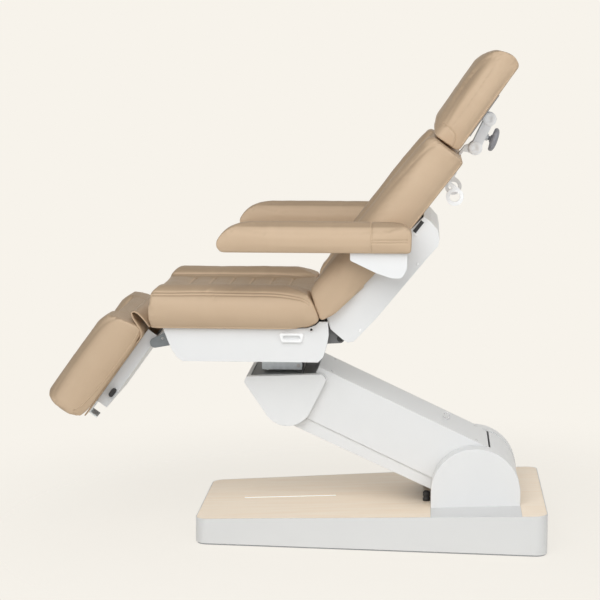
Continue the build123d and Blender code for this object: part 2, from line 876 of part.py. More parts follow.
# Lift arm: two plates on a hub tube, with bridges for the cover and a lever for the drive
arm_place = side_plane(carrier, -arm_angle)
arm_tube_radius = hub_shaft_radius + arm_tube_wall
lift_pin = shifted(hub, turned((0, -lift_lever), -lift_middle))
lever_middle = shifted(hub, turned((0, -lift_lever / 2), -lift_middle))
bridge_hub_x = arm_length - arm_bridge_hub
arm_plate_outer = arm_plate_inner + arm_plate_thickness
bridge_top = arm_depth_above - arm_wall
with BuildPart() as lift_arm_frame:
    with BuildSketch(arm_place.offset(arm_plate_inner)):
        with Locations((arm_length / 2, 0)):
            SlotCenterToCenter(arm_length, arm_plate_height)
    extrude(amount=arm_plate_thickness)
    with BuildSketch(Plane.XZ.offset(lift_lever_inner)):
        with Locations(Location((lever_middle[0], lever_middle[1], 0), (0, 0, quarter_turn + lift_middle))):
            SlotCenterToCenter(lift_lever, 2 * lever_half_width)
    extrude(amount=lever_thickness)
    mirror(about=Plane.XZ)
    with Locations((hub_x, 0, hub_z)):
        Cylinder(arm_tube_radius, 2 * (arm_half - arm_wall), rotation=(quarter_turn, 0, 0))
    with Locations((lift_pin[0], 0, lift_pin[1])):
        Cylinder(drive_pin_radius, 2 * (lift_lever_inner + lever_thickness), rotation=(quarter_turn, 0, 0))
    with BuildSketch(arm_place.offset(-arm_plate_outer)):
        with Locations((arm_length / 2, 0)):
            Circle(arm_cross_radius)
        for place in (arm_bridge_front, bridge_hub_x):
            with Locations((place, arm_plate_height / 2)):
                Circle(arm_cross_radius)
    extrude(amount=2 * arm_plate_outer)
    with BuildSketch(arm_place.offset(-(arm_half - arm_wall))):
        for place in (arm_bridge_front, bridge_hub_x):
            with Locations((place, (bridge_top + arm_bridge_low) / 2)):
                Rectangle(arm_bridge_thickness, bridge_top - arm_bridge_low)
    extrude(amount=2 * (arm_half - arm_wall))
    with Locations((hub_x, 0, hub_z)):
        Cylinder(hub_shaft_radius + slip, 2 * arm_half, rotation=(quarter_turn, 0, 0), mode=Mode.SUBTRACT)
    with Locations((carrier[0], 0, carrier[1])):
        Cylinder(carrier_pin_radius + slip, 2 * arm_half, rotation=(quarter_turn, 0, 0), mode=Mode.SUBTRACT)
lift_arm_frame.part.label = "lift_arm_frame"
export_step(lift_arm_frame.part, "parts/lift_arm_frame.step")


def arm_cover_side(wall, beyond):
    """Side outline of the arm cover, thinner by a wall and run beyond its open front and bottom."""
    radius = arm_depth_above - wall
    low = arm_cover_low - beyond
    front = arm_cover_front - beyond
    reach = sqrt(radius**2 - low**2)
    diagonal = radius / sqrt(2)
    with BuildSketch() as outline:
        with BuildLine():
            Polyline((arm_length + reach, low), (front, low), (front, radius), (arm_length, radius))
            ThreePointArc(
                (arm_length, radius), (arm_length + diagonal, diagonal), (arm_length + reach, low)
            )
        make_face()
    return outline.sketch_local


cover_outline = arm_cover_side(0, 0)
cover_hollow = arm_cover_side(arm_wall, overrun)
slot_x = arm_length - arm_slot_back
with BuildPart() as lift_arm_cover:
    with BuildSketch(arm_place):
        add(cover_outline)
    extrude(amount=arm_half, both=True)
    with BuildSketch(arm_place):
        add(cover_hollow)
    extrude(amount=arm_half - arm_wall, both=True, mode=Mode.SUBTRACT)
    with Locations((hub_x, 0, hub_z)):
        Cylinder(hub_shaft_radius + side_gap, 2 * arm_half + overrun,
                 rotation=(quarter_turn, 0, 0), mode=Mode.SUBTRACT)
    with BuildSketch(arm_place.offset(-arm_slot_half)):
        with Locations((slot_x, arm_depth_above)):
            Rectangle(arm_slot_width, 4 * arm_wall)
    extrude(amount=2 * arm_slot_half, mode=Mode.SUBTRACT)
    with BuildSketch(arm_place.offset(-arm_slot_half)):
        with Locations((slot_x - arm_slot_hook / 2, arm_depth_above)):
            Rectangle(arm_slot_hook, 4 * arm_wall)
    extrude(amount=arm_slot_width, mode=Mode.SUBTRACT)
lift_arm_cover.part.label = "lift_arm_cover"
export_step(lift_arm_cover.part, "parts/lift_arm_cover.step")

with BuildPart() as arm_cover_screws:
    for place in (arm_bridge_front, bridge_hub_x):
        spot = in_frame(carrier, -arm_angle, place, arm_depth_above)
        screw_plane = Plane(
            origin=(spot[0], 0, spot[1]), x_dir=(0, 1, 0),
            z_dir=(sin(radians(arm_angle)), 0, cos(radians(arm_angle))),
        )
        with BuildSketch(screw_plane):
            with Locations((-arm_screw_y, 0), (arm_screw_y, 0)):
                Circle(arm_screw_radius)
        extrude(amount=arm_screw_head)
arm_cover_screws.part.label = "arm_cover_screws"
export_step(arm_cover_screws.part, "parts/arm_cover_screws.step")

# Wire loop standing on the arm for the lead of an accessory
loop_spot = in_frame(carrier, -arm_angle, arm_length - loop_place, arm_depth_above + loop_radius + loop_wire)
with BuildPart(side_plane(loop_spot, -arm_angle)) as cable_loop:
    Torus(loop_radius, loop_wire)
    with Locations((0, -loop_radius, 0)):
        Box(2 * loop_radius, 2 * loop_wire, 4 * loop_wire)
cable_loop.part.label = "cable_loop"
export_step(cable_loop.part, "parts/cable_loop.step")

# Lower link: two plates below the arm, kept parallel to it by the stub shafts
link_hub = (hub_x, hub_z - link_drop)
link_carrier = shifted(carrier, (0, -link_drop))
link_place = side_plane(link_carrier, -arm_angle)
link_bridge_x = arm_length * link_bridge_place_share
link_plate_outer = link_plate_inner + link_plate_thickness
with BuildPart() as lower_link_frame:
    with BuildSketch(link_place.offset(link_plate_inner)):
        with Locations((arm_length / 2, 0)):
            SlotCenterToCenter(arm_length, link_plate_height)
        with Locations((0, 0), (arm_length, 0)):
            Circle(link_boss_radius)
    extrude(amount=link_plate_thickness)
    with BuildSketch(link_place.offset(link_plate_outer)):
        with Locations((link_bridge_x, 0), (arm_length - arm_bridge_hub - link_boss_radius * 4, 0)):
            Rectangle(link_plate_height, link_plate_height)
    extrude(amount=link_cover_half - link_cover_wall - link_plate_outer)
    mirror(about=Plane.XZ)
    with Locations((link_hub[0], 0, link_hub[1]), (link_carrier[0], 0, link_carrier[1])):
        Cylinder(link_shaft_radius + slip, 2 * arm_half, rotation=(quarter_turn, 0, 0), mode=Mode.SUBTRACT)
lower_link_frame.part.label = "lower_link_frame"
export_step(lower_link_frame.part, "parts/lower_link_frame.step")

link_hub_end = arm_length - link_cover_hub_end
link_skin_end = arm_length - link_skin_hub_end
link_side = [
    (link_cover_front_end, link_cover_low_front),
    (link_hub_end, link_cover_low_hub),
    (link_hub_end, link_cover_high),
    (link_cover_front_end, link_cover_high),
]
link_inside = [
    (link_cover_front_end - overrun, link_cover_low_front + link_cover_wall),
    (link_hub_end + overrun, link_cover_low_hub + link_cover_wall),
    (link_hub_end + overrun, link_cover_high + overrun),
    (link_cover_front_end - overrun, link_cover_high + overrun),
]
with BuildPart() as lower_link_cover:
    with BuildSketch(link_place):
        with BuildLine():
            Polyline(*link_side, close=True)
        make_face()
    extrude(amount=link_cover_half, both=True)
    with BuildSketch(link_place):
        with BuildLine():
            Polyline(*link_inside, close=True)
        make_face()
    extrude(amount=link_cover_half - link_cover_wall, both=True, mode=Mode.SUBTRACT)
    with BuildSketch(link_place):
        with Locations(((link_skin_end + link_hub_end) / 2, link_cover_low_front)):
            Rectangle(link_hub_end - link_skin_end, -2 * link_cover_low_hub)
    extrude(amount=link_cover_half - link_cover_wall, both=True, mode=Mode.SUBTRACT)
lower_link_cover.part.label = "lower_link_cover"
export_step(lower_link_cover.part, "parts/lower_link_cover.step")

# Carrier: block between the arm plates, with a top plate and lugs for the seat's tilt
carrier_plate_level = carrier[1] + carrier_plate_top
yoke_opening = slot_height(tilt_lever, tilt_low, tilt_high) + 2 * yoke_margin + 2 * rod_clearance
with BuildPart() as carrier_block:
    block_height = carrier_block_low + carrier_plate_top
    with Locations((
        carrier[0] + (carrier_block_rear - carrier_block_front) / 2, 0,
        carrier_plate_level - block_height / 2,
    )):
        Box(carrier_block_rear + carrier_block_front, 2 * carrier_block_half, block_height)
    with Locations((
        carrier[0] + (carrier_plate_rear - carrier_plate_front) / 2, 0,
        carrier_plate_level - carrier_plate_thickness / 2,
    )):
        Box(carrier_plate_rear + carrier_plate_front, 2 * carrier_inner, carrier_plate_thickness)
    with BuildSketch(Plane.XZ.offset(tilt_lug_inner)):
        with Locations(tilt_axis):
            Circle(tilt_lug_radius)
        lug_height = tilt_axis[1] - carrier_plate_level
        with Locations((tilt_axis[0], tilt_axis[1] - lug_height / 2)):
            Rectangle(2 * tilt_lug_radius, lug_height)
    extrude(amount=tilt_lug_thickness)
    mirror(about=Plane.XZ)
    with Locations((tilt_axis[0], 0, tilt_axis[1])):
        Cylinder(tilt_pin_radius, 2 * carrier_half, rotation=(quarter_turn, 0, 0), mode=Mode.SUBTRACT)
    with Locations((carrier[0], 0, carrier[1])):
        Cylinder(carrier_pin_radius, 2 * carrier_half, rotation=(quarter_turn, 0, 0), mode=Mode.SUBTRACT)
    with Locations((link_carrier[0], 0, link_carrier[1])):
        Cylinder(link_shaft_radius, 2 * carrier_half, rotation=(quarter_turn, 0, 0), mode=Mode.SUBTRACT)
    with Locations((tilt_axis[0] - tilt_lever, 0, carrier_plate_level)):
        Box(yoke_opening, yoke_opening, 3 * carrier_plate_thickness, mode=Mode.SUBTRACT)
carrier_block.part.label = "carrier_block"
export_step(carrier_block.part, "parts/carrier_block.step")

tilt_plate_outer = tilt_lug_inner + tilt_lug_thickness + side_gap + tilt_lug_thickness
with BuildPart() as carrier_pins:
    with Locations((carrier[0], 0, carrier[1])):
        Cylinder(carrier_pin_radius, 2 * (arm_plate_outer + side_gap), rotation=(quarter_turn, 0, 0))
    with Locations((link_carrier[0], 0, link_carrier[1])):
        Cylinder(link_shaft_radius, 2 * (link_plate_outer + side_gap), rotation=(quarter_turn, 0, 0))
    with Locations((tilt_axis[0], 0, tilt_axis[1])):
        Cylinder(tilt_pin_radius, 2 * tilt_plate_outer, rotation=(quarter_turn, 0, 0))
carrier_pins.part.label = "carrier_pins"
export_step(carrier_pins.part, "parts/carrier_pins.step")


def carrier_side(wall):
    """Shield-shaped side outline of the carrier cover, thinner by a wall."""
    top = carrier_top - wall
    with BuildSketch() as outline:
        with BuildLine():
            radius = carrier_radius - wall
            front = -carrier_front_reach + wall
            rear = carrier_rear_reach - wall
            flank = radius * sqrt(3) / 2
            Polyline(
                (-flank, -radius / 2),
                (front, top - carrier_corner_drop),
                (front + carrier_corner / 2, top),
                (rear - carrier_corner, top + carrier_rear_rise),
                (rear, top - carrier_corner_drop + carrier_rear_rise),
                (flank, -radius / 2),
            )
            ThreePointArc((flank, -radius / 2), (0, -radius), (-flank, -radius / 2))
        make_face()
        fillet(outline.vertices().group_by(Axis.Y)[-1], carrier_wall)
    return outline.sketch_local


cover_side = carrier_side(0)
cover_inside = carrier_side(carrier_wall)
with BuildPart() as carrier_cover:
    with BuildSketch(side_plane(carrier, 0)):
        add(cover_side)
    extrude(amount=carrier_half, both=True)
    with BuildSketch(side_plane(carrier, 0)):
        add(cover_inside)
    extrude(amount=carrier_inner, both=True, mode=Mode.SUBTRACT)
    with Locations((carrier[0] + carrier_half - carrier_block_front, 0, carrier[1])):
        Box(2 * carrier_half, 2 * carrier_inner, 3 * carrier_radius, mode=Mode.SUBTRACT)
    with Locations((carrier[0] - carrier_wall, 0, carrier[1] + carrier_top)):
        Box(2 * carrier_front_reach - 3 * carrier_corner, 2 * carrier_inner, 3 * carrier_wall,
            mode=Mode.SUBTRACT)
carrier_cover.part.label = "carrier_cover"
export_step(carrier_cover.part, "parts/carrier_cover.step")

# Tilt drive hung under the carrier's plate, its rod up to the pin of the tilt plate
tilt_middle = (tilt_low + tilt_high) / 2
tilt_share = yoke_share(tilt_low, tilt_high)
tilt_yoke = (
    tilt_axis[0] - yoke_level(tilt_lever, tilt_low, tilt_high),
    tilt_axis[1] - tilt_lever * tilt_share * radians(tilt_middle),
)
tilt_place = side_plane(tilt_yoke, -quarter_turn)
with BuildPart() as tilt_drive:
    add(drive_body(
        tilt_place, tilt_rod_radius, tilt_tube_start, tilt_tube_length, tilt_motor_radius, tilt_motor_length
    ))
    foot_start = tilt_rod_radius + rod_clearance + tube_wall
    foot_end = carrier[0] - carrier_block_front - tilt_yoke[0]
    foot_low = tilt_tube_start + tilt_tube_length
    foot_levels = (foot_start, foot_end)
    foot_half = drive_foot_width / 2
    add(slab(tilt_place, (foot_low, foot_low + drive_foot_width), foot_levels, (-foot_half, foot_half)))
tilt_drive.part.label = "tilt_drive"
export_step(tilt_drive.part, "parts/tilt_drive.step")

with BuildPart() as tilt_rod:
    add(drive_rod(tilt_place, tilt_rod_radius, tilt_rod_length, slot_height(tilt_lever, tilt_low, tilt_high)))
tilt_rod.part.label = "tilt_rod"
export_step(tilt_rod.part, "parts/tilt_rod.step")

# Zinc-plated tilt plate: a channel under the seat frame, hinged on the carrier's lugs
frame_low = base_level - seat_pan_thickness - seat_rail_height
tilt_pin = shifted(tilt_axis, turned((-tilt_lever, 0), -tilt_middle))
tilt_web_inner = tilt_lug_inner + tilt_lug_thickness + side_gap
with BuildPart() as tilt_plate:
    with BuildSketch(Plane.XZ.offset(tilt_web_inner)):
        with Locations(tilt_axis):
            Circle(tilt_lug_radius)
        web_low = tilt_axis[1] - tilt_web_drop
        web_start = tilt_axis[0] - tilt_plate_front
        web_end = tilt_axis[0] + tilt_plate_rear
        with Locations(((web_start + web_end) / 2, (web_low + frame_low) / 2)):
            Rectangle(web_end - web_start, frame_low - web_low)
    extrude(amount=tilt_lug_thickness)
    mirror(about=Plane.XZ)
    with Locations(((web_start + web_end) / 2, 0, frame_low - tilt_plate_sheet / 2)):
        Box(web_end - web_start, 2 * tilt_plate_half, tilt_plate_sheet)
    with Locations((tilt_pin[0], 0, tilt_pin[1])):
        Cylinder(drive_pin_radius, 2 * tilt_web_inner + tilt_lug_thickness, rotation=(quarter_turn, 0, 0))
    with Locations((tilt_axis[0], 0, tilt_axis[1])):
        Cylinder(tilt_pin_radius + slip, 2 * carrier_half, rotation=(quarter_turn, 0, 0), mode=Mode.SUBTRACT)
tilt_plate.part.label = "tilt_plate"
export_step(tilt_plate.part, "parts/tilt_plate.step")

# Seat frame: box-section rails and cross members under a pan, with lugs behind for two pins
rail_front = carrier[0] - seat_frame_front
rail_rear = carrier[0] + seat_frame_rear
rail_middle = frame_low + seat_rail_height / 2
leg_middle = (leg_low + leg_high) / 2
leg_share = yoke_share(leg_low, leg_high)
leg_yoke = (
    leg_pivot[0] + leg_lever * leg_share * radians(leg_middle),
    leg_pivot[1] - yoke_level(leg_lever, leg_low, leg_high),
)
leg_motor_x = leg_yoke[0] + leg_tube_start + leg_tube_length + leg_motor_length / 2
recline_middle = (back_low + back_high) / 2
back_normal = (-sin(radians(back_angle)), cos(radians(back_angle)))
recline_pin = shifted(back_pivot, turned(back_normal, recline_middle), recline_lever)
half_cross = seat_cross_width / 2
rail_inner_y = seat_rail_y - seat_rail_width / 2
rail_outer_y = seat_rail_y + seat_rail_width / 2
lug_root = (rail_rear - seat_frame_wall / 2, rail_middle)
with BuildPart() as seat_frame:
    with BuildSketch(Plane.XZ):
        for place in (leg_motor_x, web_start + half_cross, web_end - half_cross):
            with Locations((place, rail_middle)):
                Rectangle(seat_cross_width, seat_rail_height)
                Rectangle(seat_cross_width - 2 * seat_frame_wall, seat_rail_height - 2 * seat_frame_wall,
                          mode=Mode.SUBTRACT)
    extrude(amount=rail_inner_y, both=True)
    for place, reach in ((rail_front + half_cross, leg_bracket_inner), (rail_rear - half_cross, back_hinge_inner)):
        with BuildSketch(Plane.XZ):
            with Locations((place, rail_middle)):
                Rectangle(seat_cross_width, seat_rail_height)
                Rectangle(seat_cross_width - 2 * seat_frame_wall, seat_rail_height - 2 * seat_frame_wall,
                          mode=Mode.SUBTRACT)
        extrude(amount=reach, both=True)
    with BuildSketch(Plane.YZ.offset(rail_front)):
        with Locations((seat_rail_y, rail_middle), (-seat_rail_y, rail_middle)):
            Rectangle(seat_rail_width, seat_rail_height)
            Rectangle(seat_rail_width - 2 * seat_frame_wall, seat_rail_height - 2 * seat_frame_wall,
                      mode=Mode.SUBTRACT)
    extrude(amount=rail_rear - rail_front)
    add(slab(Plane.XZ, (rail_front, rail_rear), (base_level - seat_pan_thickness, base_level),
             (-rail_outer_y, rail_outer_y)))
    add(lug(lug_inner, lug_thickness, lug_root, (seat_frame_wall, seat_rail_height), recline_pin, lug_radius))
    mirror(about=Plane.XZ)
    level_lug_inner = level_rod_y - level_rod_thickness / 2 - side_gap - lug_thickness
    add(lug(level_lug_inner, lug_thickness, lug_root, (seat_frame_wall, seat_rail_height), level_low, lug_radius))
    with Locations((recline_pin[0], 0, recline_pin[1])):
        Cylinder(drive_pin_radius, 2 * (lug_inner + lug_thickness), rotation=(quarter_turn, 0, 0))
    level_pin_length = level_rod_y + level_rod_thickness / 2 - level_lug_inner
    with Locations((level_low[0], -level_lug_inner - level_pin_length / 2, level_low[1])):
        Cylinder(level_pin_radius, level_pin_length, rotation=(quarter_turn, 0, 0))
seat_frame.part.label = "seat_frame"
export_step(seat_frame.part, "parts/seat_frame.step")

# Seat undercover: a thin tub with its rim under the cushion and notches for the hinges
tub_place = side_plane(shifted(carrier, (0, tub_floor)), 0)
tub_height = cushion_base - tub_floor
tub_outline = scaled(tub_front_shares, -tub_front_top, tub_height)
tub_outline = tub_outline + scaled(tub_rear_shares, tub_rear_top, tub_height)
with BuildSketch() as tub_side:
    with BuildLine():
        Polyline(*tub_outline, close=True)
    make_face()
with BuildSketch() as tub_inside:
    add(tub_side.sketch)
    offset(amount=-tub_wall, kind=Kind.INTERSECTION)
eyelet_spot = shifted(carrier, (eyelet_x, eyelet_z))
hinge_notch = back_hinge_inner + back_hinge_thickness + 2 * overrun
notch_inner = level_lug_inner - overrun
notch_low = frame_low - 2 * overrun
with BuildPart() as seat_undercover:
    with BuildSketch(tub_place):
        add(tub_side.sketch)
    extrude(amount=tub_half, both=True)
    with BuildSketch(tub_place):
        add(tub_inside.sketch)
        with Locations((0, 2 * tub_wall)):
            add(tub_inside.sketch)
    extrude(amount=tub_half - tub_wall, both=True, mode=Mode.SUBTRACT)
    rear_x = carrier[0] + tub_rear_top
    rear_span = (rear_x - 4 * overrun, rear_x + overrun)
    add(slab(Plane.XZ, rear_span, (base_level + tub_rear_notch, base_level + tub_height),
             (-tub_half + 2 * overrun, tub_half - 2 * overrun)), mode=Mode.SUBTRACT)
    add(slab(Plane.XZ, rear_span, (notch_low, base_level + tub_height),
             (-lug_inner - 2 * lug_thickness, lug_inner + 2 * lug_thickness)), mode=Mode.SUBTRACT)
    for side in (notch_inner, -hinge_notch):
        add(slab(Plane.XZ, rear_span, (notch_low, base_level + tub_height),
                 (side, side + hinge_notch - notch_inner)), mode=Mode.SUBTRACT)
    bracket_outer = leg_bracket_inner + leg_bracket_thickness
    front_span = (carrier[0] - tub_front_top - overrun, rail_front)
    for side in (leg_bracket_inner - side_gap, -bracket_outer - side_gap):
        add(slab(Plane.XZ, front_span, (leg_yoke[1], base_level + tub_height),
                 (side, side + leg_bracket_thickness + 2 * side_gap)), mode=Mode.SUBTRACT)
    rod_slot = leg_rod_radius + 2 * overrun
    tube_x = leg_yoke[0] + leg_tube_start + overrun
    add(slab(Plane.XZ, (front_span[0], tube_x), (leg_yoke[1] - rod_slot, leg_yoke[1] + rod_slot), (-rod_slot, rod_slot)),
        mode=Mode.SUBTRACT)
    opening_span = (web_start - overrun, web_end + overrun)
    opening_half = tilt_plate_half + overrun
    add(slab(Plane.XZ, opening_span, (tilt_axis[1], frame_low - tilt_plate_sheet - overrun),
             (-opening_half, opening_half)), mode=Mode.SUBTRACT)
    with Locations((eyelet_spot[0], 0, eyelet_spot[1])):
        Cylinder(eyelet_body_radius, 3 * tub_half, rotation=(quarter_turn, 0, 0), mode=Mode.SUBTRACT)
seat_undercover.part.label = "seat_undercover"
export_step(seat_undercover.part, "parts/seat_undercover.step")

# Seat cushion with raised side bolsters and grooves across its panel
with BuildPart() as seat_cushion:
    add(padded_body(
        carrier, 0, -seat_front, cushion_base, seat_front + seat_rear, seat_cushion_height,
        seat_cushion_half, seat_side_shares, bolster_shares,
    ))
    seat_place = side_plane((seat_front_x, base_level), 0)
    seat_panel = seat_cushion_height * panel_share
    add(channel_cuts(seat_place, channel_first, channel_count, seat_panel), mode=Mode.SUBTRACT)
seat_cushion.part.label = "seat_cushion"
export_step(seat_cushion.part, "parts/seat_cushion.step")

# Strap loops and accessory sockets on both flanks of the undercover
loop_x = carrier[0] + strap_loop_x
loop_z = carrier[1] + strap_loop_z
half_loop = strap_loop_length / 2
loop_outline = [
    (loop_x - half_loop, loop_z + strap_loop_height / 2),
    (loop_x - half_loop + strap_loop_taper, loop_z - strap_loop_height / 2),
    (loop_x + half_loop - strap_loop_taper, loop_z - strap_loop_height / 2),
    (loop_x + half_loop, loop_z + strap_loop_height / 2),
]
with BuildPart() as strap_loops:
    with BuildSketch(Plane.XZ.offset(tub_half)):
        with BuildLine():
            FilletPolyline(*loop_outline, radius=strap_loop_corner, close=True)
        make_face()
        with Locations((loop_x, loop_z)):
            slot_length = strap_loop_length - 2 * (strap_loop_taper + strap_loop_bar)
            SlotOverall(slot_length + strap_loop_taper, strap_loop_height - 2 * strap_loop_bar,
                        mode=Mode.SUBTRACT)
    extrude(amount=strap_loop_depth)
    mirror(about=Plane.XZ)
strap_loops.part.label = "strap_loops"
export_step(strap_loops.part, "parts/strap_loops.step")

with BuildPart() as socket_eyelets:
    with Locations((eyelet_spot[0], -tub_half - eyelet_flange / 2, eyelet_spot[1])):
        Cylinder(eyelet_radius, eyelet_flange, rotation=(quarter_turn, 0, 0))
    with Locations((eyelet_spot[0], -tub_half + eyelet_length / 2, eyelet_spot[1])):
        Cylinder(eyelet_body_radius, eyelet_length, rotation=(quarter_turn, 0, 0))
    with Locations((eyelet_spot[0], -tub_half, eyelet_spot[1])):
        Cylinder(eyelet_hole_radius, 3 * eyelet_length, rotation=(quarter_turn, 0, 0), mode=Mode.SUBTRACT)
    mirror(about=Plane.XZ)
socket_eyelets.part.label = "socket_eyelets"
export_step(socket_eyelets.part, "parts/socket_eyelets.step")

# Hinge plates for the back, bolted to the ends of the seat frame's rear member
with BuildPart() as back_hinge_plates:
    plate_root = (rail_rear - half_cross, rail_middle)
    add(lug(back_hinge_inner, back_hinge_thickness, plate_root, (seat_cross_width, seat_rail_height),
            back_pivot, back_hinge_ear))
    with BuildSketch(Plane.XZ.offset(back_hinge_inner)):
        with BuildLine():
            Polyline(
                (rail_rear, rail_middle),
                (rail_rear, frame_low + seat_rail_height),
                (rear_x - back_hinge_ear, base_level + hinge_plate_rise),
                (rear_x + hinge_plate_lip, base_level + back_hinge_pin),
                (back_pivot[0], back_pivot[1]),
                close=True,
            )
        make_face()
    extrude(amount=back_hinge_thickness)
    with Locations((back_pivot[0], 0, back_pivot[1])):
        Cylinder(back_hinge_pin, 2 * back_half, rotation=(quarter_turn, 0, 0), mode=Mode.SUBTRACT)
    mirror(about=Plane.XZ)
back_hinge_plates.part.label = "back_hinge_plates"
export_step(back_hinge_plates.part, "parts/back_hinge_plates.step")

pin_start = back_plate_inner - 2 * side_gap
pin_end = back_hinge_inner + back_hinge_thickness + 2 * side_gap
with BuildPart() as back_hinge_pins:
    with Locations((back_pivot[0], -(pin_start + pin_end) / 2, back_pivot[1])):
        Cylinder(back_hinge_pin, pin_end - pin_start, rotation=(quarter_turn, 0, 0))
    mirror(about=Plane.XZ)
back_hinge_pins.part.label = "back_hinge_pins"
export_step(back_hinge_pins.part, "parts/back_hinge_pins.step")

# Brackets with stub pins that carry the leg rest, and the drive of the leg rest
with BuildPart() as leg_hinge_brackets:
    bracket_root = (rail_front + half_cross, rail_middle)
    add(lug(leg_bracket_inner, leg_bracket_thickness, bracket_root, (seat_cross_width, seat_rail_height),
            leg_pivot, leg_ear_radius))
    with Locations((
        leg_pivot[0] + leg_bracket_hole_share * (rail_front - leg_pivot[0]),
        -leg_bracket_inner,
        leg_pivot[1] + leg_bracket_hole_share * (rail_middle - leg_pivot[1]) + leg_bracket_hole_rise,
    )):
        Cylinder(leg_bracket_hole / 2, 3 * leg_bracket_thickness, rotation=(quarter_turn, 0, 0),
                 mode=Mode.SUBTRACT)
    stub_start = leg_frame_half - leg_ear_thickness
    stub_end = bracket_outer + 2 * side_gap
    with Locations((leg_pivot[0], -(stub_start + stub_end) / 2, leg_pivot[1])):
        Cylinder(leg_pin_radius, stub_end - stub_start, rotation=(quarter_turn, 0, 0))
    mirror(about=Plane.XZ)
leg_hinge_brackets.part.label = "leg_hinge_brackets"
export_step(leg_hinge_brackets.part, "parts/leg_hinge_brackets.step")

leg_drive_place = side_plane(leg_yoke, 0)
with BuildPart() as leg_drive:
    add(drive_body(
        leg_drive_place, leg_rod_radius, leg_tube_start, leg_tube_length, leg_motor_radius, leg_motor_length
    ))
    foot_span = (leg_motor_x - half_cross, leg_motor_x + half_cross)
    add(slab(Plane.XZ, foot_span, (leg_yoke[1] + leg_motor_radius / 2, frame_low), (-half_cross, half_cross)))
leg_drive.part.label = "leg_drive"
export_step(leg_drive.part, "parts/leg_drive.step")

with BuildPart() as leg_rod:
    add(drive_rod(leg_drive_place, leg_rod_radius, leg_rod_length, slot_height(leg_lever, leg_low, leg_high)))
leg_rod.part.label = "leg_rod"
export_step(leg_rod.part, "parts/leg_rod.step")

# Fixed limb of the flap that bridges the gap between seat and leg rest
flap_root = seat_front_x - flap_offset
flap_tip = (flap_root - flap_reach, base_level + flap_rise)
with BuildPart() as gap_flap:
    with BuildSketch(Plane.XZ):
        with BuildLine():
            Polyline(
                (carrier[0] - tub_front_top - soft_gap, base_level),
                (carrier[0] - tub_front_top - soft_gap, base_level - flap_thickness),
                (flap_root - flap_thickness, base_level - flap_thickness),
                (flap_tip[0] - flap_thickness / 2, flap_tip[1]),
                (flap_tip[0] + flap_thickness, flap_tip[1]),
                (flap_root, base_level),
                close=True,
            )
        make_face()
    extrude(amount=flap_half, both=True)
gap_flap.part.label = "gap_flap"
export_step(gap_flap.part, "parts/gap_flap.step")

# Back frame: side plates with hinge ears, cross members, a pan and the sleeve of the head post
back_place = side_plane(back_pivot, back_angle)
pan_low = back_rear - back_pan_thickness
plate_low = pan_low - back_frame_depth
cross_top = plate_low + back_cross_size
back_plate_outer = back_plate_inner + back_plate_thickness
shell_inner = shell_half - shell_wall
recline_share = yoke_share(back_low, back_high)
recline_along = recline_lever * recline_share * radians(recline_middle)
recline_level = yoke_level(recline_lever, back_low, back_high)
recline_yoke = in_frame(back_pivot, back_angle, recline_along, recline_level)
recline_motor_place = recline_along + recline_tube_start + recline_tube_length + recline_motor_length / 2
sleeve_half = post_width / 2 + sleeve_play + sleeve_wall
sleeve_level = post_thickness / 2 + sleeve_play + sleeve_wall
with BuildPart() as back_frame:
    with BuildSketch(back_place.offset(back_plate_inner)):
        Circle(back_hinge_ear)
        with Locations((back_hinge_ear / 2, 0)):
            Rectangle(back_hinge_ear, 2 * back_hinge_ear)
        with Locations(((back_start + back_frame_length) / 2, (plate_low + pan_low) / 2)):
            Rectangle(back_frame_length - back_start, back_frame_depth)
    extrude(amount=back_plate_thickness)
    mirror(about=Plane.XZ)
    add(slab(back_place, (back_pan_start, back_frame_length), (pan_low, back_rear),
             (-back_plate_outer, back_plate_outer)))
    half_size = back_cross_size / 2
    for place in (back_cross_first, back_cross_last):
        add(slab(back_place, (place - half_size, place + half_size), (plate_low, cross_top),
                 (-shell_inner, shell_inner)))
    add(slab(back_place, (recline_motor_place - half_size, recline_motor_place + half_size),
             (plate_low, cross_top), (-back_plate_inner, back_plate_inner)))
    add(slab(back_place, (sleeve_start, sleeve_end), (post_level - sleeve_level, post_level + sleeve_level),
             (-sleeve_half, sleeve_half)))
    add(slab(back_place, (sleeve_start, back_frame_length), (back_rear, post_level - sleeve_level),
             (-sleeve_half, sleeve_half)))
    bore_half = sleeve_half - sleeve_wall
    bore_level = sleeve_level - sleeve_wall
    add(slab(back_place, (post_start, sleeve_end + overrun), (post_level - bore_level, post_level + bore_level),
             (-bore_half, bore_half)), mode=Mode.SUBTRACT)
    with Locations((back_pivot[0], 0, back_pivot[1])):
        Cylinder(back_hinge_pin + slip, 2 * back_half, rotation=(quarter_turn, 0, 0), mode=Mode.SUBTRACT)
    with Locations((arm_pivot[0], 0, arm_pivot[1])):
        Cylinder(arm_shaft_radius + slip, 2 * back_half, rotation=(quarter_turn, 0, 0), mode=Mode.SUBTRACT)
back_frame.part.label = "back_frame"
export_step(back_frame.part, "parts/back_frame.step")

# Back cushion with side bolsters, grooves and a recess for the head post's sleeve
recess_half = sleeve_half + soft_gap
with BuildPart() as back_cushion:
    add(padded_body(
        back_pivot, back_angle, back_start, back_rear, back_length, back_thickness,
        back_half, back_side_shares, bolster_shares,
    ))
    back_panel = back_rear + back_thickness * panel_share
    add(channel_cuts(back_place, back_channel_first, back_channel_count, back_panel), mode=Mode.SUBTRACT)
    add(slab(back_place, (post_start - soft_gap, back_start + back_length + overrun),
             (back_rear - overrun, post_level + sleeve_level + soft_gap), (-recess_half, recess_half)),
        mode=Mode.SUBTRACT)
back_cushion.part.label = "back_cushion"
export_step(back_cushion.part, "parts/back_cushion.step")

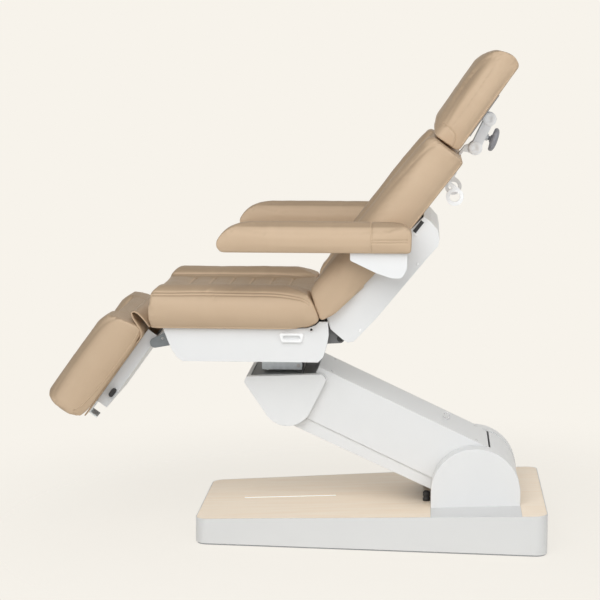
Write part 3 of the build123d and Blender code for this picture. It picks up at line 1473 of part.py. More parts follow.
# Back shell: a thin tray behind the cushion, notched for the hinges and bored for the arm shaft
with BuildSketch() as shell_side:
    with BuildLine():
        Polyline(*scaled(shell_outline_shares, shell_length, shell_depth), close=True)
    make_face()
with BuildSketch() as shell_hollow:
    add(shell_side.sketch)
    offset(amount=-shell_wall, kind=Kind.INTERSECTION)
shell_front = (-2 * back_hinge_ear, 2 * back_hinge_ear)
with BuildPart() as back_shell:
    with BuildSketch(back_place):
        add(shell_side.sketch)
    extrude(amount=shell_half, both=True)
    with BuildSketch(back_place):
        add(shell_hollow.sketch)
        with Locations((0, 2 * shell_wall)):
            add(shell_hollow.sketch)
    extrude(amount=shell_inner, both=True, mode=Mode.SUBTRACT)
    for side in (notch_inner, -hinge_notch):
        add(slab(back_place, shell_front, (-2 * back_hinge_ear, back_thickness),
                 (side, side + hinge_notch - notch_inner)), mode=Mode.SUBTRACT)
    add(slab(back_place, shell_front, (-back_hinge_ear, back_thickness),
             (-lug_inner - 2 * lug_thickness, lug_inner + 2 * lug_thickness)), mode=Mode.SUBTRACT)
    with Locations((arm_pivot[0], 0, arm_pivot[1])):
        Cylinder(arm_shaft_radius + 2 * side_gap, 2 * back_half, rotation=(quarter_turn, 0, 0),
                 mode=Mode.SUBTRACT)
    add(back_cushion.part, mode=Mode.SUBTRACT)
    add(slab(back_place, (post_start, shell_length), (back_rear, back_thickness),
             (-recess_half, recess_half)), mode=Mode.SUBTRACT)
back_shell.part.label = "back_shell"
export_step(back_shell.part, "parts/back_shell.step")

with BuildPart() as shell_screws:
    with BuildSketch(back_place.offset(shell_half)):
        with Locations(*scaled(shell_screw_shares, shell_length, shell_depth)):
            Circle(shell_screw_radius)
    extrude(amount=shell_screw_head)
    mirror(about=Plane.XZ)
shell_screws.part.label = "shell_screws"
export_step(shell_screws.part, "parts/shell_screws.step")

with BuildPart() as side_tag:
    add(slab(back_place, (tag_place - tag_length / 2, tag_place + tag_length / 2),
             (tag_level - tag_width / 2, tag_level + tag_width / 2), (shell_half, shell_half + tag_thickness)))
side_tag.part.label = "side_tag"
export_step(side_tag.part, "parts/side_tag.step")

# Grab rings under the back cushion, each hanging from a small plate
ring_stem_place = ring_place + ring_outer * ring_stem_share
with BuildPart() as grab_rings:
    with BuildSketch(back_place.offset(ring_y - ring_width / 2)):
        with Locations((ring_stem_place, (ring_level + back_rear) / 2)):
            Rectangle(ring_stem, back_rear - ring_level)
        with Locations((ring_place, ring_level)):
            Circle(ring_outer)
            Circle(ring_inner, mode=Mode.SUBTRACT)
    extrude(amount=ring_width)
    add(slab(back_place, (ring_stem_place - ring_stem / 2, ring_stem_place - ring_stem / 2 + ring_plate_length),
             (back_rear - ring_plate_thickness, back_rear), (ring_y - ring_width, ring_y + ring_width)))
    mirror(about=Plane.XZ)
grab_rings.part.label = "grab_rings"
export_step(grab_rings.part, "parts/grab_rings.step")

# Recline drive inside the shell, its yoke round the pin of the seat's lugs
recline_place = side_plane(recline_yoke, back_angle)
with BuildPart() as recline_drive:
    add(drive_body(
        recline_place, recline_rod_radius, recline_tube_start, recline_tube_length,
        recline_motor_radius, recline_motor_length,
    ))
    add(slab(back_place, (recline_motor_place - half_size, recline_motor_place + half_size),
             (cross_top, recline_level - recline_motor_radius / 2), (-half_size, half_size)))
recline_drive.part.label = "recline_drive"
export_step(recline_drive.part, "parts/recline_drive.step")

with BuildPart() as recline_rod:
    add(drive_rod(
        recline_place, recline_rod_radius, recline_rod_length, slot_height(recline_lever, back_low, back_high)
    ))
recline_rod.part.label = "recline_rod"
export_step(recline_rod.part, "parts/recline_rod.step")

# Arm shaft across the back with a lever, and the rod that keeps the armrests level
level_rod_inner = level_rod_y - level_rod_thickness / 2
arm_lever_inner = level_rod_y + level_rod_thickness / 2 + side_gap
arm_lever_outer = arm_lever_inner + lever_thickness
with BuildPart() as arm_shaft:
    with Locations((arm_pivot[0], 0, arm_pivot[1])):
        Cylinder(arm_shaft_radius, 2 * (wing_inner + arm_shaft_bore_depth), rotation=(quarter_turn, 0, 0))
    with BuildSketch(Plane.XZ.offset(arm_lever_inner)):
        with Locations(arm_pivot):
            Circle(arm_lever_radius)
        with Locations(level_high):
            Circle(level_rod_width / 2)
        make_hull()
    extrude(amount=lever_thickness)
    with Locations((level_high[0], -(level_rod_inner + arm_lever_outer) / 2, level_high[1])):
        Cylinder(level_pin_radius, arm_lever_outer - level_rod_inner, rotation=(quarter_turn, 0, 0))
arm_shaft.part.label = "arm_shaft"
export_step(arm_shaft.part, "parts/arm_shaft.step")

level_rod_middle = ((level_low[0] + level_high[0]) / 2, (level_low[1] + level_high[1]) / 2)
level_rod_length = sqrt(arm_shaft_place**2 + arm_shaft_level**2)
level_rod_angle = degrees(atan2(level_high[1] - level_low[1], level_high[0] - level_low[0]))
with BuildPart() as level_rod:
    with BuildSketch(Plane.XZ.offset(level_rod_inner)):
        with Locations(Location((level_rod_middle[0], level_rod_middle[1], 0), (0, 0, level_rod_angle))):
            SlotCenterToCenter(level_rod_length, level_rod_width)
        with Locations(level_low):
            Circle(level_pin_radius + slip, mode=Mode.SUBTRACT)
        with Locations(level_high):
            Circle(level_pin_radius + level_play, mode=Mode.SUBTRACT)
    extrude(amount=level_rod_thickness)
level_rod.part.label = "level_rod"
export_step(level_rod.part, "parts/level_rod.step")

# Armrests: a wing bracket on each end of the shaft with a pad on top
wing_outline = [
    (-wing_front, armrest_low),
    (-wing_front, armrest_low - wing_front_drop),
    (-wing_front * wing_toe_share, -wing_low * wing_toe_share),
    (-wing_rear * wing_heel_share, -wing_low),
    (wing_rear * wing_toe_share, -wing_low),
    (wing_rear, 0),
    (wing_rear, armrest_low),
]
wing_radii = (0, wing_corner / 2, wing_corner, wing_corner, wing_corner, wing_corner / 2, 0)
pad_y = armrest_inner + armrest_width / 2
with BuildPart() as arm_bracket_near:
    with BuildSketch(side_plane(arm_pivot, 0).offset(wing_inner)):
        with BuildLine():
            FilletPolyline(*wing_outline, radius=wing_radii, close=True)
        make_face()
    extrude(amount=wing_outer - wing_inner)
    with Locations((arm_pivot[0], -wing_inner - arm_shaft_bore_depth / 2, arm_pivot[1])):
        Cylinder(arm_shaft_radius + slip, arm_shaft_bore_depth + side_gap, rotation=(quarter_turn, 0, 0),
                 mode=Mode.SUBTRACT)
arm_bracket_near.part.label = "arm_bracket_near"
export_step(arm_bracket_near.part, "parts/arm_bracket_near.step")

with BuildPart() as arm_bracket_far:
    mirror(arm_bracket_near.part, about=Plane.XZ)
arm_bracket_far.part.label = "arm_bracket_far"
export_step(arm_bracket_far.part, "parts/arm_bracket_far.step")

pad_body = padded_body(
    arm_pivot, 0, -armrest_front, armrest_low, armrest_front + armrest_rear, armrest_height,
    armrest_width / 2, arm_side_shares, crown_shares,
)
with BuildPart() as arm_pad_near:
    with Locations((0, -pad_y, 0)):
        add(pad_body)
arm_pad_near.part.label = "arm_pad_near"
export_step(arm_pad_near.part, "parts/arm_pad_near.step")

with BuildPart() as arm_pad_far:
    with Locations((0, pad_y, 0)):
        add(pad_body)
arm_pad_far.part.label = "arm_pad_far"
export_step(arm_pad_far.part, "parts/arm_pad_far.step")

# Leg rest: a channel-shaped swinging frame, and a sliding board that carries the cushion
leg_place = side_plane(leg_pivot, leg_angle)
leg_inner = leg_frame_half - leg_frame_wall
leg_web_top = leg_frame_low + leg_frame_wall
leg_pin = shifted(leg_pivot, turned((0, -leg_lever), -leg_middle))
leg_lever_root = in_frame(leg_pivot, leg_angle, 0, leg_web_top)
board_low = leg_frame_high + soft_gap
leg_base = board_low + leg_board_thickness
with BuildPart() as leg_frame:
    add(slab(leg_place, (leg_frame_start, leg_frame_end), (leg_frame_low, leg_frame_high),
             (-leg_frame_half, leg_frame_half)))
    add(slab(leg_place, (leg_frame_start - overrun, leg_frame_end + overrun),
             (leg_web_top, leg_frame_high + overrun), (-leg_inner, leg_inner)), mode=Mode.SUBTRACT)
    with BuildSketch(leg_place.offset(leg_frame_half - leg_ear_thickness)):
        Circle(leg_ear_radius)
    extrude(amount=leg_ear_thickness)
    with BuildSketch(Plane.XZ.offset(lug_inner)):
        with Locations(leg_pin, leg_lever_root):
            Circle(lug_radius)
        make_hull()
    extrude(amount=lug_thickness)
    mirror(about=Plane.XZ)
    with Locations((leg_pin[0], 0, leg_pin[1])):
        Cylinder(drive_pin_radius, 2 * (lug_inner + lug_thickness), rotation=(quarter_turn, 0, 0))
    for side in (leg_inner + leg_frame_wall / 2, -leg_inner - leg_frame_wall / 2):
        with Locations((leg_pivot[0], side, leg_pivot[1])):
            Cylinder(leg_pin_radius + slip, 2 * leg_ear_thickness, rotation=(quarter_turn, 0, 0),
                     mode=Mode.SUBTRACT)
    latch_spot = in_frame(leg_pivot, leg_angle, latch_place, latch_level)
    with Locations((latch_spot[0], -leg_frame_half, latch_spot[1])):
        Cylinder(latch_stem + slip, 4 * leg_frame_wall, rotation=(quarter_turn, 0, 0), mode=Mode.SUBTRACT)
leg_frame.part.label = "leg_frame"
export_step(leg_frame.part, "parts/leg_frame.step")

runner_outer = leg_inner - side_gap
with BuildPart() as leg_board:
    add(slab(leg_place, (leg_runner_start, leg_runner_end), (board_low - leg_runner_height, board_low),
             (runner_outer - leg_runner_width, runner_outer)))
    mirror(about=Plane.XZ)
    board_start = leg_cushion_end - leg_cushion_length + leg_board_margin
    add(slab(leg_place, (board_start, leg_cushion_end - 2 * leg_board_margin), (board_low, leg_base),
             (-leg_board_half, leg_board_half)))
leg_board.part.label = "leg_board"
export_step(leg_board.part, "parts/leg_board.step")

bracket_end = leg_frame_start - 2 * side_gap
bracket_inner = runner_outer - end_bracket_width
with BuildPart() as leg_end_bracket:
    add(slab(leg_place, (bracket_end - end_bracket_length + end_bracket_sheet, bracket_end),
             (board_low - end_bracket_sheet, board_low), (bracket_inner, runner_outer)))
    add(slab(leg_place, (bracket_end - end_bracket_length, bracket_end - end_bracket_length + end_bracket_sheet),
             (leg_web_top + end_bracket_sheet, board_low), (bracket_inner, runner_outer)))
    mirror(about=Plane.XZ)
leg_end_bracket.part.label = "leg_end_bracket"
export_step(leg_end_bracket.part, "parts/leg_end_bracket.step")

with BuildPart() as leg_cushion:
    add(padded_body(
        leg_pivot, leg_angle, leg_cushion_end - leg_cushion_length, leg_base, leg_cushion_length,
        leg_cushion_thickness, leg_cushion_half, leg_side_shares, bolster_shares,
    ))
    leg_panel = leg_base + leg_cushion_thickness * panel_share
    first_channel = leg_cushion_end - leg_cushion_length + leg_channel_first
    add(channel_cuts(leg_place, first_channel, leg_channel_count, leg_panel), mode=Mode.SUBTRACT)
leg_cushion.part.label = "leg_cushion"
export_step(leg_cushion.part, "parts/leg_cushion.step")

with BuildPart() as leg_latch:
    with BuildSketch(leg_place.offset(leg_frame_half + side_gap)):
        with Locations((latch_place, latch_level)):
            SlotOverall(latch_length, latch_height)
    extrude(amount=latch_depth)
    with Locations((latch_spot[0], -leg_frame_half + leg_frame_wall, latch_spot[1])):
        Cylinder(latch_stem, 4 * leg_frame_wall, rotation=(quarter_turn, 0, 0))
leg_latch.part.label = "leg_latch"
export_step(leg_latch.part, "parts/leg_latch.step")

# Headrest: a flat post, a double-jointed link with a handwheel, and a plate with the cushion
with BuildPart() as head_post:
    post_levels = (post_level - post_thickness / 2, post_level + post_thickness / 2)
    add(slab(back_place, (post_start, post_head), post_levels, (-post_width / 2, post_width / 2)))
    with BuildSketch(back_place):
        with Locations((lower_joint_place, lower_joint_level)):
            Circle(knuckle_radius)
        with Locations((post_head - post_thickness, post_level)):
            Rectangle(2 * post_thickness, post_thickness)
        make_hull()
    extrude(amount=knuckle_half, both=True)
    with Locations((lower_joint[0], 0, lower_joint[1])):
        Cylinder(head_pin_radius + slip, 4 * knuckle_half, rotation=(quarter_turn, 0, 0), mode=Mode.SUBTRACT)
head_post.part.label = "head_post"
export_step(head_post.part, "parts/head_post.step")

link_length = sqrt(head_link_reach**2 + head_link_rise**2)
link_angle = degrees(atan2(head_link_rise, head_link_reach))
link_middle = shifted(lower_joint, (head_link_reach, head_link_rise), 1 / 2)
stud_root = shifted(lower_joint, (head_link_reach, head_link_rise), wheel_place_share)
cheek_inner = knuckle_half + side_gap
cheek_outer = cheek_inner + cheek_thickness
wheel_turn = radians(wheel_tilt)
stud_plane = Plane(
    origin=(stud_root[0], 0, stud_root[1]), x_dir=(0, 1, 0), z_dir=(cos(wheel_turn), 0, sin(wheel_turn))
)
with BuildPart() as head_link:
    with BuildSketch(Plane.XZ.offset(cheek_inner)):
        with Locations(lower_joint, upper_joint):
            Circle(head_joint_radius)
        with Locations(Location((link_middle[0], link_middle[1], 0), (0, 0, link_angle))):
            Rectangle(link_length, 2 * cheek_neck)
    extrude(amount=cheek_thickness)
    mirror(about=Plane.XZ)
    with Locations(*[(spot[0], 0, spot[1]) for spot in (lower_joint, upper_joint)]):
        Cylinder(head_pin_radius, 2 * cheek_outer, rotation=(quarter_turn, 0, 0))
    with Locations((stud_root[0], 0, stud_root[1])):
        Cylinder(stud_boss_radius, 2 * cheek_outer, rotation=(quarter_turn, 0, 0))
    with BuildSketch(stud_plane):
        Circle(stud_boss_radius - slip)
    extrude(amount=stud_boss_radius + stud_boss_length)
    with BuildSketch(stud_plane):
        Circle(stud_radius)
    extrude(amount=wheel_reach)
head_link.part.label = "head_link"
export_step(head_link.part, "parts/head_link.step")

wheel_plane = stud_plane.offset(wheel_reach - wheel_thickness / 2)
lobe_circle = wheel_radius - wheel_lobe_radius
with BuildPart() as handwheel:
    with BuildSketch(wheel_plane):
        Circle(lobe_circle)
        with PolarLocations(lobe_circle, wheel_lobe_count):
            Circle(wheel_lobe_radius)
    extrude(amount=wheel_thickness)
    with BuildSketch(wheel_plane):
        Circle(stud_radius + slip)
    extrude(amount=wheel_thickness / 2 + side_gap, mode=Mode.SUBTRACT)
handwheel.part.label = "handwheel"
export_step(handwheel.part, "parts/handwheel.step")

head_place = side_plane(upper_joint, head_angle)
head_plate_low = head_cushion_rear - head_plate_thickness
with BuildPart() as head_plate:
    add(slab(head_place, (-head_plate_length / 2, head_plate_length / 2), (head_plate_low, head_cushion_rear),
             (-head_plate_width / 2, head_plate_width / 2)))
    clear_reach = head_joint_radius + 2 * soft_gap
    for side in (cheek_inner - side_gap, -cheek_outer - side_gap):
        add(slab(head_place, (-clear_reach, clear_reach), (-overrun, head_cushion_rear + overrun),
                 (side, side + cheek_thickness + 2 * side_gap)), mode=Mode.SUBTRACT)
    with BuildSketch(head_place):
        Circle(knuckle_radius)
        with Locations((0, head_plate_low / 2)):
            Rectangle(2 * cheek_neck, head_plate_low)
    extrude(amount=knuckle_half, both=True)
    with Locations((upper_joint[0], 0, upper_joint[1])):
        Cylinder(head_pin_radius + slip, 4 * knuckle_half, rotation=(quarter_turn, 0, 0), mode=Mode.SUBTRACT)
head_plate.part.label = "head_plate"
export_step(head_plate.part, "parts/head_plate.step")

with BuildPart() as head_cushion:
    add(padded_body(
        upper_joint, head_angle, head_cushion_low, head_cushion_rear, head_cushion_length,
        head_cushion_thickness, head_cushion_half, head_side_shares, crown_shares,
    ))
head_cushion.part.label = "head_cushion"
export_step(head_cushion.part, "parts/head_cushion.step")
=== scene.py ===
"""Looks of an adjustable treatment chair: upholstery, paint, wood and metal over the CAD frame."""

import json
import logging
import math
from dataclasses import dataclass, field
from enum import Enum
from typing import Optional, Sequence, Union

import bmesh
import bpy
import numpy as np
from mathutils import Matrix, Vector
from mathutils.bvhtree import BVHTree


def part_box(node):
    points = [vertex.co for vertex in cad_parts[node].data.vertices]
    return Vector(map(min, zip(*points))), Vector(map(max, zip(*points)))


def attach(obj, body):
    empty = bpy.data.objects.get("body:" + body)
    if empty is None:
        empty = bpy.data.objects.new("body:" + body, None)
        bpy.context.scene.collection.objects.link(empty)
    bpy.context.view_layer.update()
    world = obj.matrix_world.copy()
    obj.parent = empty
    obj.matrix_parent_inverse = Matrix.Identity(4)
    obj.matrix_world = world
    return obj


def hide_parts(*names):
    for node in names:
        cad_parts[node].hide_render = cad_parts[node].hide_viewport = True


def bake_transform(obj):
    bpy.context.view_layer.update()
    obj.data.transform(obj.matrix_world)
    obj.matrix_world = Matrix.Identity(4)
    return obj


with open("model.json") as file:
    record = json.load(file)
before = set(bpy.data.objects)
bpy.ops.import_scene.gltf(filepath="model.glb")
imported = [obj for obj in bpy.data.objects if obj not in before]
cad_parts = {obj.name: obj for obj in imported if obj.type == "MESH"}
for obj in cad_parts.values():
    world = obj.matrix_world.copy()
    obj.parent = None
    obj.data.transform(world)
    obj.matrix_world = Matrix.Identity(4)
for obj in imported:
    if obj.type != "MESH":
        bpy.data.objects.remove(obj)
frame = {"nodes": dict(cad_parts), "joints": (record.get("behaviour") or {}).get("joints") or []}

Pair = tuple[float, float]
Triple = tuple[float, float, float]
Spot = tuple[Vector, Vector]
Socket = bpy.types.NodeSocket
Term = Union[Socket, float, tuple[float, ...]]
log = logging.getLogger("chair")

X_WAY = Vector((1, 0, 0))
Y_WAY = Vector((0, 1, 0))


class Flank(Enum):
    """Sides of the chair along Y."""

    NEAR = -1
    FAR = 1


class Brush(Enum):
    """Ways in which a metal surface is finished."""

    GROUND = "ground"
    ZINC = "zinc"


# Frames and outlines


@dataclass(frozen=True)
class SideFrame:
    """Tilted frame in the side view: u runs at an angle above +X and v stands square to it."""

    x: float
    z: float
    angle: float = 0.0

    def at(self, u: float, v: float, y: float = 0.0) -> Vector:
        """Place of a point of the frame.

        Args:
            u: distance along the frame, in metres.
            v: distance square to it, in metres.
            y: place across the chair, in metres.

        Returns:
            The point in the row frame.
        """
        turn = math.radians(self.angle)
        return Vector((
            self.x + u * math.cos(turn) - v * math.sin(turn),
            y,
            self.z + u * math.sin(turn) + v * math.cos(turn),
        ))

    def local(self, points: np.ndarray) -> np.ndarray:
        """Coordinates of many points in this frame.

        Args:
            points: an n by 3 array in the row frame.

        Returns:
            An n by 3 array of u, v and y.
        """
        turn = math.radians(self.angle)
        dx, dz = points[:, 0] - self.x, points[:, 2] - self.z
        along = dx * math.cos(turn) + dz * math.sin(turn)
        level = -dx * math.sin(turn) + dz * math.cos(turn)
        return np.stack([along, level, points[:, 1]], axis=1)

    def direction(self, u: float, v: float) -> Vector:
        """Direction of the frame as a vector of the row frame."""
        return (self.at(u, v) - self.at(0.0, 0.0)).normalized()


def joint_frame(name: str, angle: float = 0.0) -> SideFrame:
    """Frame at a joint's place.

    Args:
        name: the joint.
        angle: how far the frame's u is raised above +X, in degrees.

    Returns:
        The frame at the joint.
    """
    found = next(joint for joint in frame["joints"] if joint["name"] == name)
    x, _, z = found["pos_m"]
    return SideFrame(x, z, angle)


def dense_line(points: Sequence[Pair], pitch: float) -> list[Pair]:
    """Even points along a line that runs smoothly through the given ones.

    Args:
        points: the line's own points.
        pitch: the wanted distance between the new points.

    Returns:
        The points of the smooth line.
    """
    line = [Vector((*point, 0.0)) for point in points]
    line = [line[0] * 2 - line[1], *line, line[-1] * 2 - line[-2]]
    made: list[Pair] = []
    for before, start, end, after in zip(line, line[1:], line[2:], line[3:]):
        count = max(1, round((end - start).length / pitch))
        for index in range(count):
            t = index / count
            spot = 0.5 * (
                2 * start + (end - before) * t
                + (2 * before - 5 * start + 4 * end - after) * t * t
                + (3 * start - before - 3 * end + after) * t ** 3
            )
            made.append((spot.x, spot.y))
    made.append(tuple(points[-1]))
    return made


def distance_to_line(s: np.ndarray, t: np.ndarray, points: Sequence[Pair]) -> np.ndarray:
    """Distance of many points from a chain of straight runs.

    Args:
        s: first coordinates of the points.
        t: second coordinates of the points.
        points: the chain's own points.

    Returns:
        The least distance of each point.
    """
    least = np.full(s.shape, np.inf)
    for (s0, t0), (s1, t1) in zip(points, points[1:]):
        ds, dt = s1 - s0, t1 - t0
        share = np.clip(((s - s0) * ds + (t - t0) * dt) / (ds * ds + dt * dt + 1e-18), 0, 1)
        least = np.minimum(least, np.hypot(s - s0 - share * ds, t - t0 - share * dt))
    return least


def hump(distance: np.ndarray, width: float) -> np.ndarray:
    """Smooth bump of height one over a distance of zero, as wide as the width."""
    return np.exp(-((distance / width) ** 2))


def ramp(value: np.ndarray, start: float, width: float) -> np.ndarray:
    """Share that goes from zero at the start to one over the width."""
    return np.clip((value - start) / width, 0, 1)


# Shader helpers


class Nodes:
    """Node tree with short ways to add and join its nodes."""

    def __init__(self, tree: bpy.types.NodeTree) -> None:
        """Keeps the tree."""
        self.tree = tree

    def feed(self, socket: Socket, term: Term) -> None:
        """Joins a source to a socket, or sets the socket's own value."""
        if isinstance(term, Socket):
            self.tree.links.new(term, socket)
        else:
            socket.default_value = term

    def add(self, kind: str, *terms: Term, **values: object) -> bpy.types.Node:
        """Adds a node.

        Args:
            kind: the node's type, without its prefix.
            terms: sources or values of its first inputs, in their order.
            values: properties of the node, or sources or values of inputs by name.

        Returns:
            The node.
        """
        made = self.tree.nodes.new("ShaderNode" + kind)
        for key, value in values.items():
            if hasattr(made, key):
                setattr(made, key, value)
            else:
                self.feed(made.inputs[key.replace("_", " ")], value)
        for socket, term in zip(made.inputs, terms):
            self.feed(socket, term)
        return made

    def math(self, operation: str, *terms: Term, clamp: bool = False) -> Socket:
        """Result of a sum on sources and numbers."""
        return self.add("Math", *terms, operation=operation, use_clamp=clamp).outputs[0]

    def place(self) -> Socket:
        """Object coordinates."""
        return self.add("TexCoord").outputs["Object"]

    def noise(self, vector: Socket, scale: Term, detail: float = 2.0, roughness: float = 0.5,
              output: str = "Fac") -> Socket:
        """Noise over the places that a vector gives."""
        made = self.add("TexNoise", Vector=vector, Scale=scale, Detail=detail, Roughness=roughness)
        return made.outputs[output]

    def span(self, value: Socket, low: float, high: float, start: float = 0.0, end: float = 1.0,
             smooth: bool = False) -> Socket:
        """Value carried from one range to another and kept within it.

        Args:
            value: the source.
            low: result at the start of the range.
            high: result at its end.
            start: start of the source's range.
            end: end of the source's range.
            smooth: whether the result eases in and out.

        Returns:
            The result's socket.
        """
        way = "SMOOTHSTEP" if smooth else "LINEAR"
        made = self.add("MapRange", clamp=True, interpolation_type=way, Value=value,
                        From_Min=start, From_Max=end, To_Min=low, To_Max=high)
        return made.outputs["Result"]

    def blend(self, share: Socket, low: Term, high: Term) -> Socket:
        """Colour between two by a mask.

        Args:
            share: the mask.
            low: colour where the mask is zero, or its source.
            high: colour where it is one, or its source.

        Returns:
            The socket of the mixed colour.
        """
        made = self.add("Mix", data_type="RGBA", Factor=share)
        for key, colour in (("A", low), ("B", high)):
            self.feed(made.inputs[key], colour if isinstance(colour, Socket) else (*colour, 1.0))
        return next(out for out in made.outputs if out.type == "RGBA")

    def seen_rays(self) -> Socket:
        """Mask of the rays by which the camera, gloss and glass see a surface."""
        path = self.add("LightPath").outputs
        either = self.math("MAXIMUM", path["Is Camera Ray"], path["Is Glossy Ray"])
        return self.math("MAXIMUM", either, path["Is Transmission Ray"])


class Group(Nodes):
    """Shader group with plain number sockets."""

    def __init__(self, name: str, inputs: dict[str, float], outputs: Sequence[str]) -> None:
        """Starts the group.

        Args:
            name: the group's name.
            inputs: names and first values of its inputs.
            outputs: names of its outputs.
        """
        super().__init__(bpy.data.node_groups.new(name, "ShaderNodeTree"))
        sockets = self.tree.interface
        for key, value in inputs.items():
            made = sockets.new_socket(name=key, in_out="INPUT", socket_type="NodeSocketFloat")
            made.default_value = value
        for key in outputs:
            sockets.new_socket(name=key, in_out="OUTPUT", socket_type="NodeSocketFloat")
        self.given = self.tree.nodes.new("NodeGroupInput").outputs
        self.results = self.tree.nodes.new("NodeGroupOutput").inputs

    def give(self, **sources: Socket) -> bpy.types.NodeTree:
        """Joins the group's outputs and hands out its tree."""
        for key, source in sources.items():
            self.feed(self.results[key], source)
        return self.tree


def handling_group() -> bpy.types.NodeTree:
    """Slow variation from handling and dust, as a mask.

    Returns:
        The group, with Scale and Contrast inputs and a Mask output.
    """
    group = Group("handling", {"Scale": 6.0, "Contrast": 1.6}, ["Mask"])
    slow = group.noise(group.place(), group.given["Scale"], detail=4.0, roughness=0.6)
    shift = group.math("SUBTRACT", slow, 0.5)
    mask = group.math("MULTIPLY_ADD", shift, group.given["Contrast"], 0.5, clamp=True)
    return group.give(Mask=mask)


def hide_group() -> bpy.types.NodeTree:
    """Pebbled grain of upholstery leather.

    Returns:
        The group, with Scale and Fold Scale inputs, a Height output and a Pits mask.
    """
    group = Group("hide", {"Scale": 420.0, "Fold Scale": 22.0}, ["Height", "Pits"])
    place = group.place()
    pebble = group.add("TexVoronoi", feature="DISTANCE_TO_EDGE", Vector=place,
                       Scale=group.given["Scale"])
    pits = group.span(pebble.outputs["Distance"], low=0.0, high=1.0, end=0.12)
    folds = group.noise(place, group.given["Fold Scale"], detail=5.0, roughness=0.65)
    return group.give(Height=group.math("MULTIPLY_ADD", pits, 0.35, folds), Pits=pits)


def timber_group() -> bpy.types.NodeTree:
    """Long grain of pale timber along X.

    Returns:
        The group, with Scale and Pore Scale inputs, and Streak and Pore outputs.
    """
    group = Group("timber", {"Scale": 7.0, "Pore Scale": 60.0}, ["Streak", "Pore"])
    place = group.place()
    drawn = group.add("Mapping", Vector=place, Scale=(0.5, 6.0, 6.0)).outputs["Vector"]
    warp = group.noise(drawn, scale=1.6, output="Color")
    bent = group.add("VectorMath", warp, (0.0, 0.5, 0.0), drawn, operation="MULTIPLY_ADD")
    streak = group.noise(bent.outputs["Vector"], group.given["Scale"], detail=6.0, roughness=0.6)
    fine = group.add("Mapping", Vector=place, Scale=(0.6, 12.0, 12.0)).outputs["Vector"]
    return group.give(Streak=streak, Pore=group.noise(fine, group.given["Pore Scale"]))


HANDLING = handling_group()
HIDE = hide_group()
TIMBER = timber_group()


class Recipe(Nodes):
    """Material with one main shader."""

    def __init__(self, name: str) -> None:
        """Starts the material with an empty tree and its shader."""
        self.material = bpy.data.materials.new(name)
        self.material.use_nodes = True
        super().__init__(self.material.node_tree)
        self.tree.nodes.clear()
        self.shader = self.add("BsdfPrincipled")
        self.output = self.add("OutputMaterial", Surface=self.shader.outputs["BSDF"])

    def set(self, **values: Term) -> None:
        """Sets or joins the main shader's sockets."""
        for key, value in values.items():
            self.feed(self.shader.inputs[key.replace("_", " ")], value)

    def handled(self, scale: float, contrast: float) -> Socket:
        """Mask of the slow variation from handling."""
        group = self.add("Group", node_tree=HANDLING, Scale=scale, Contrast=contrast)
        return group.outputs["Mask"]

    def relief(self, height: Socket, depth: float, strength: float, rounding: float = 0.0) -> None:
        """Bump from a height, on edges that look rounded.

        Args:
            height: source of the height.
            depth: height of the relief in metres.
            strength: how strongly it shows.
            rounding: radius of the edges in metres, or zero for none.
        """
        bump = self.add("Bump", Strength=strength, Distance=depth, Height=height)
        if rounding > 0:
            soft = self.add("Bevel", samples=4, Radius=rounding)
            self.feed(bump.inputs["Normal"], soft.outputs["Normal"])
        self.set(Normal=bump.outputs["Normal"])


@dataclass(frozen=True)
class Leather:
    """Soft pebbled upholstery, with painted shade in its folds and on its faces that turn upwards."""

    name: str
    light: Triple
    dark: Triple
    rough: Pair = (0.58, 0.42)
    # The last four fields paint shade: its colour, how dark the upward faces get, which way these face,
    # and how dark the folds get.
    deep: Triple = (0.20, 0.135, 0.078)
    wear_and_painted_shade: float = 0.62
    painted_shade_way: Triple = (-0.45, 0.0, 0.89)
    crease: float = 0.35

    def material(self) -> bpy.types.Material:
        """Material of this finish."""
        recipe = Recipe(self.name)
        wear_and_painted_shade = recipe.handled(scale=5.0, contrast=1.8)
        hide = recipe.add("Group", node_tree=HIDE).outputs
        mask = recipe.math("MULTIPLY", wear_and_painted_shade, recipe.span(hide["Pits"], low=0.75, high=1.0))
        dyed = recipe.blend(mask, self.dark, self.light)
        recipe.set(
            # Painted shade: upward faces and folds are pulled towards the deep colour.
            Base_Color=recipe.blend(self.painted_shade_mask(recipe), self.deep, dyed),
            Roughness=recipe.span(wear_and_painted_shade, *self.rough),
            Specular_IOR_Level=0.22,
        )
        recipe.relief(hide["Height"], depth=0.0011, strength=0.32)
        return recipe.material

    def painted_shade_mask(self, recipe: Recipe) -> Socket:
        """Mask of painted shade, which falls in folds and on the faces that turn upwards."""
        normal = recipe.add("TexCoord").outputs["Normal"]
        # Painted shade on the faces that turn up and back, which the lamps would light less.
        lean = recipe.add("VectorMath", normal, self.painted_shade_way, operation="DOT_PRODUCT")
        away = recipe.span(lean.outputs["Value"], low=1.0, high=1.0 - self.wear_and_painted_shade,
                           start=0.25, end=0.95, smooth=True)
        # Painted shade in folds: where the skin is hollow its colour is pulled towards the deep colour.
        edge = recipe.add("NewGeometry").outputs["Pointiness"]
        fold = recipe.span(edge, low=self.crease, high=1.0, start=0.40, end=0.492)
        return recipe.math("MULTIPLY", away, fold)


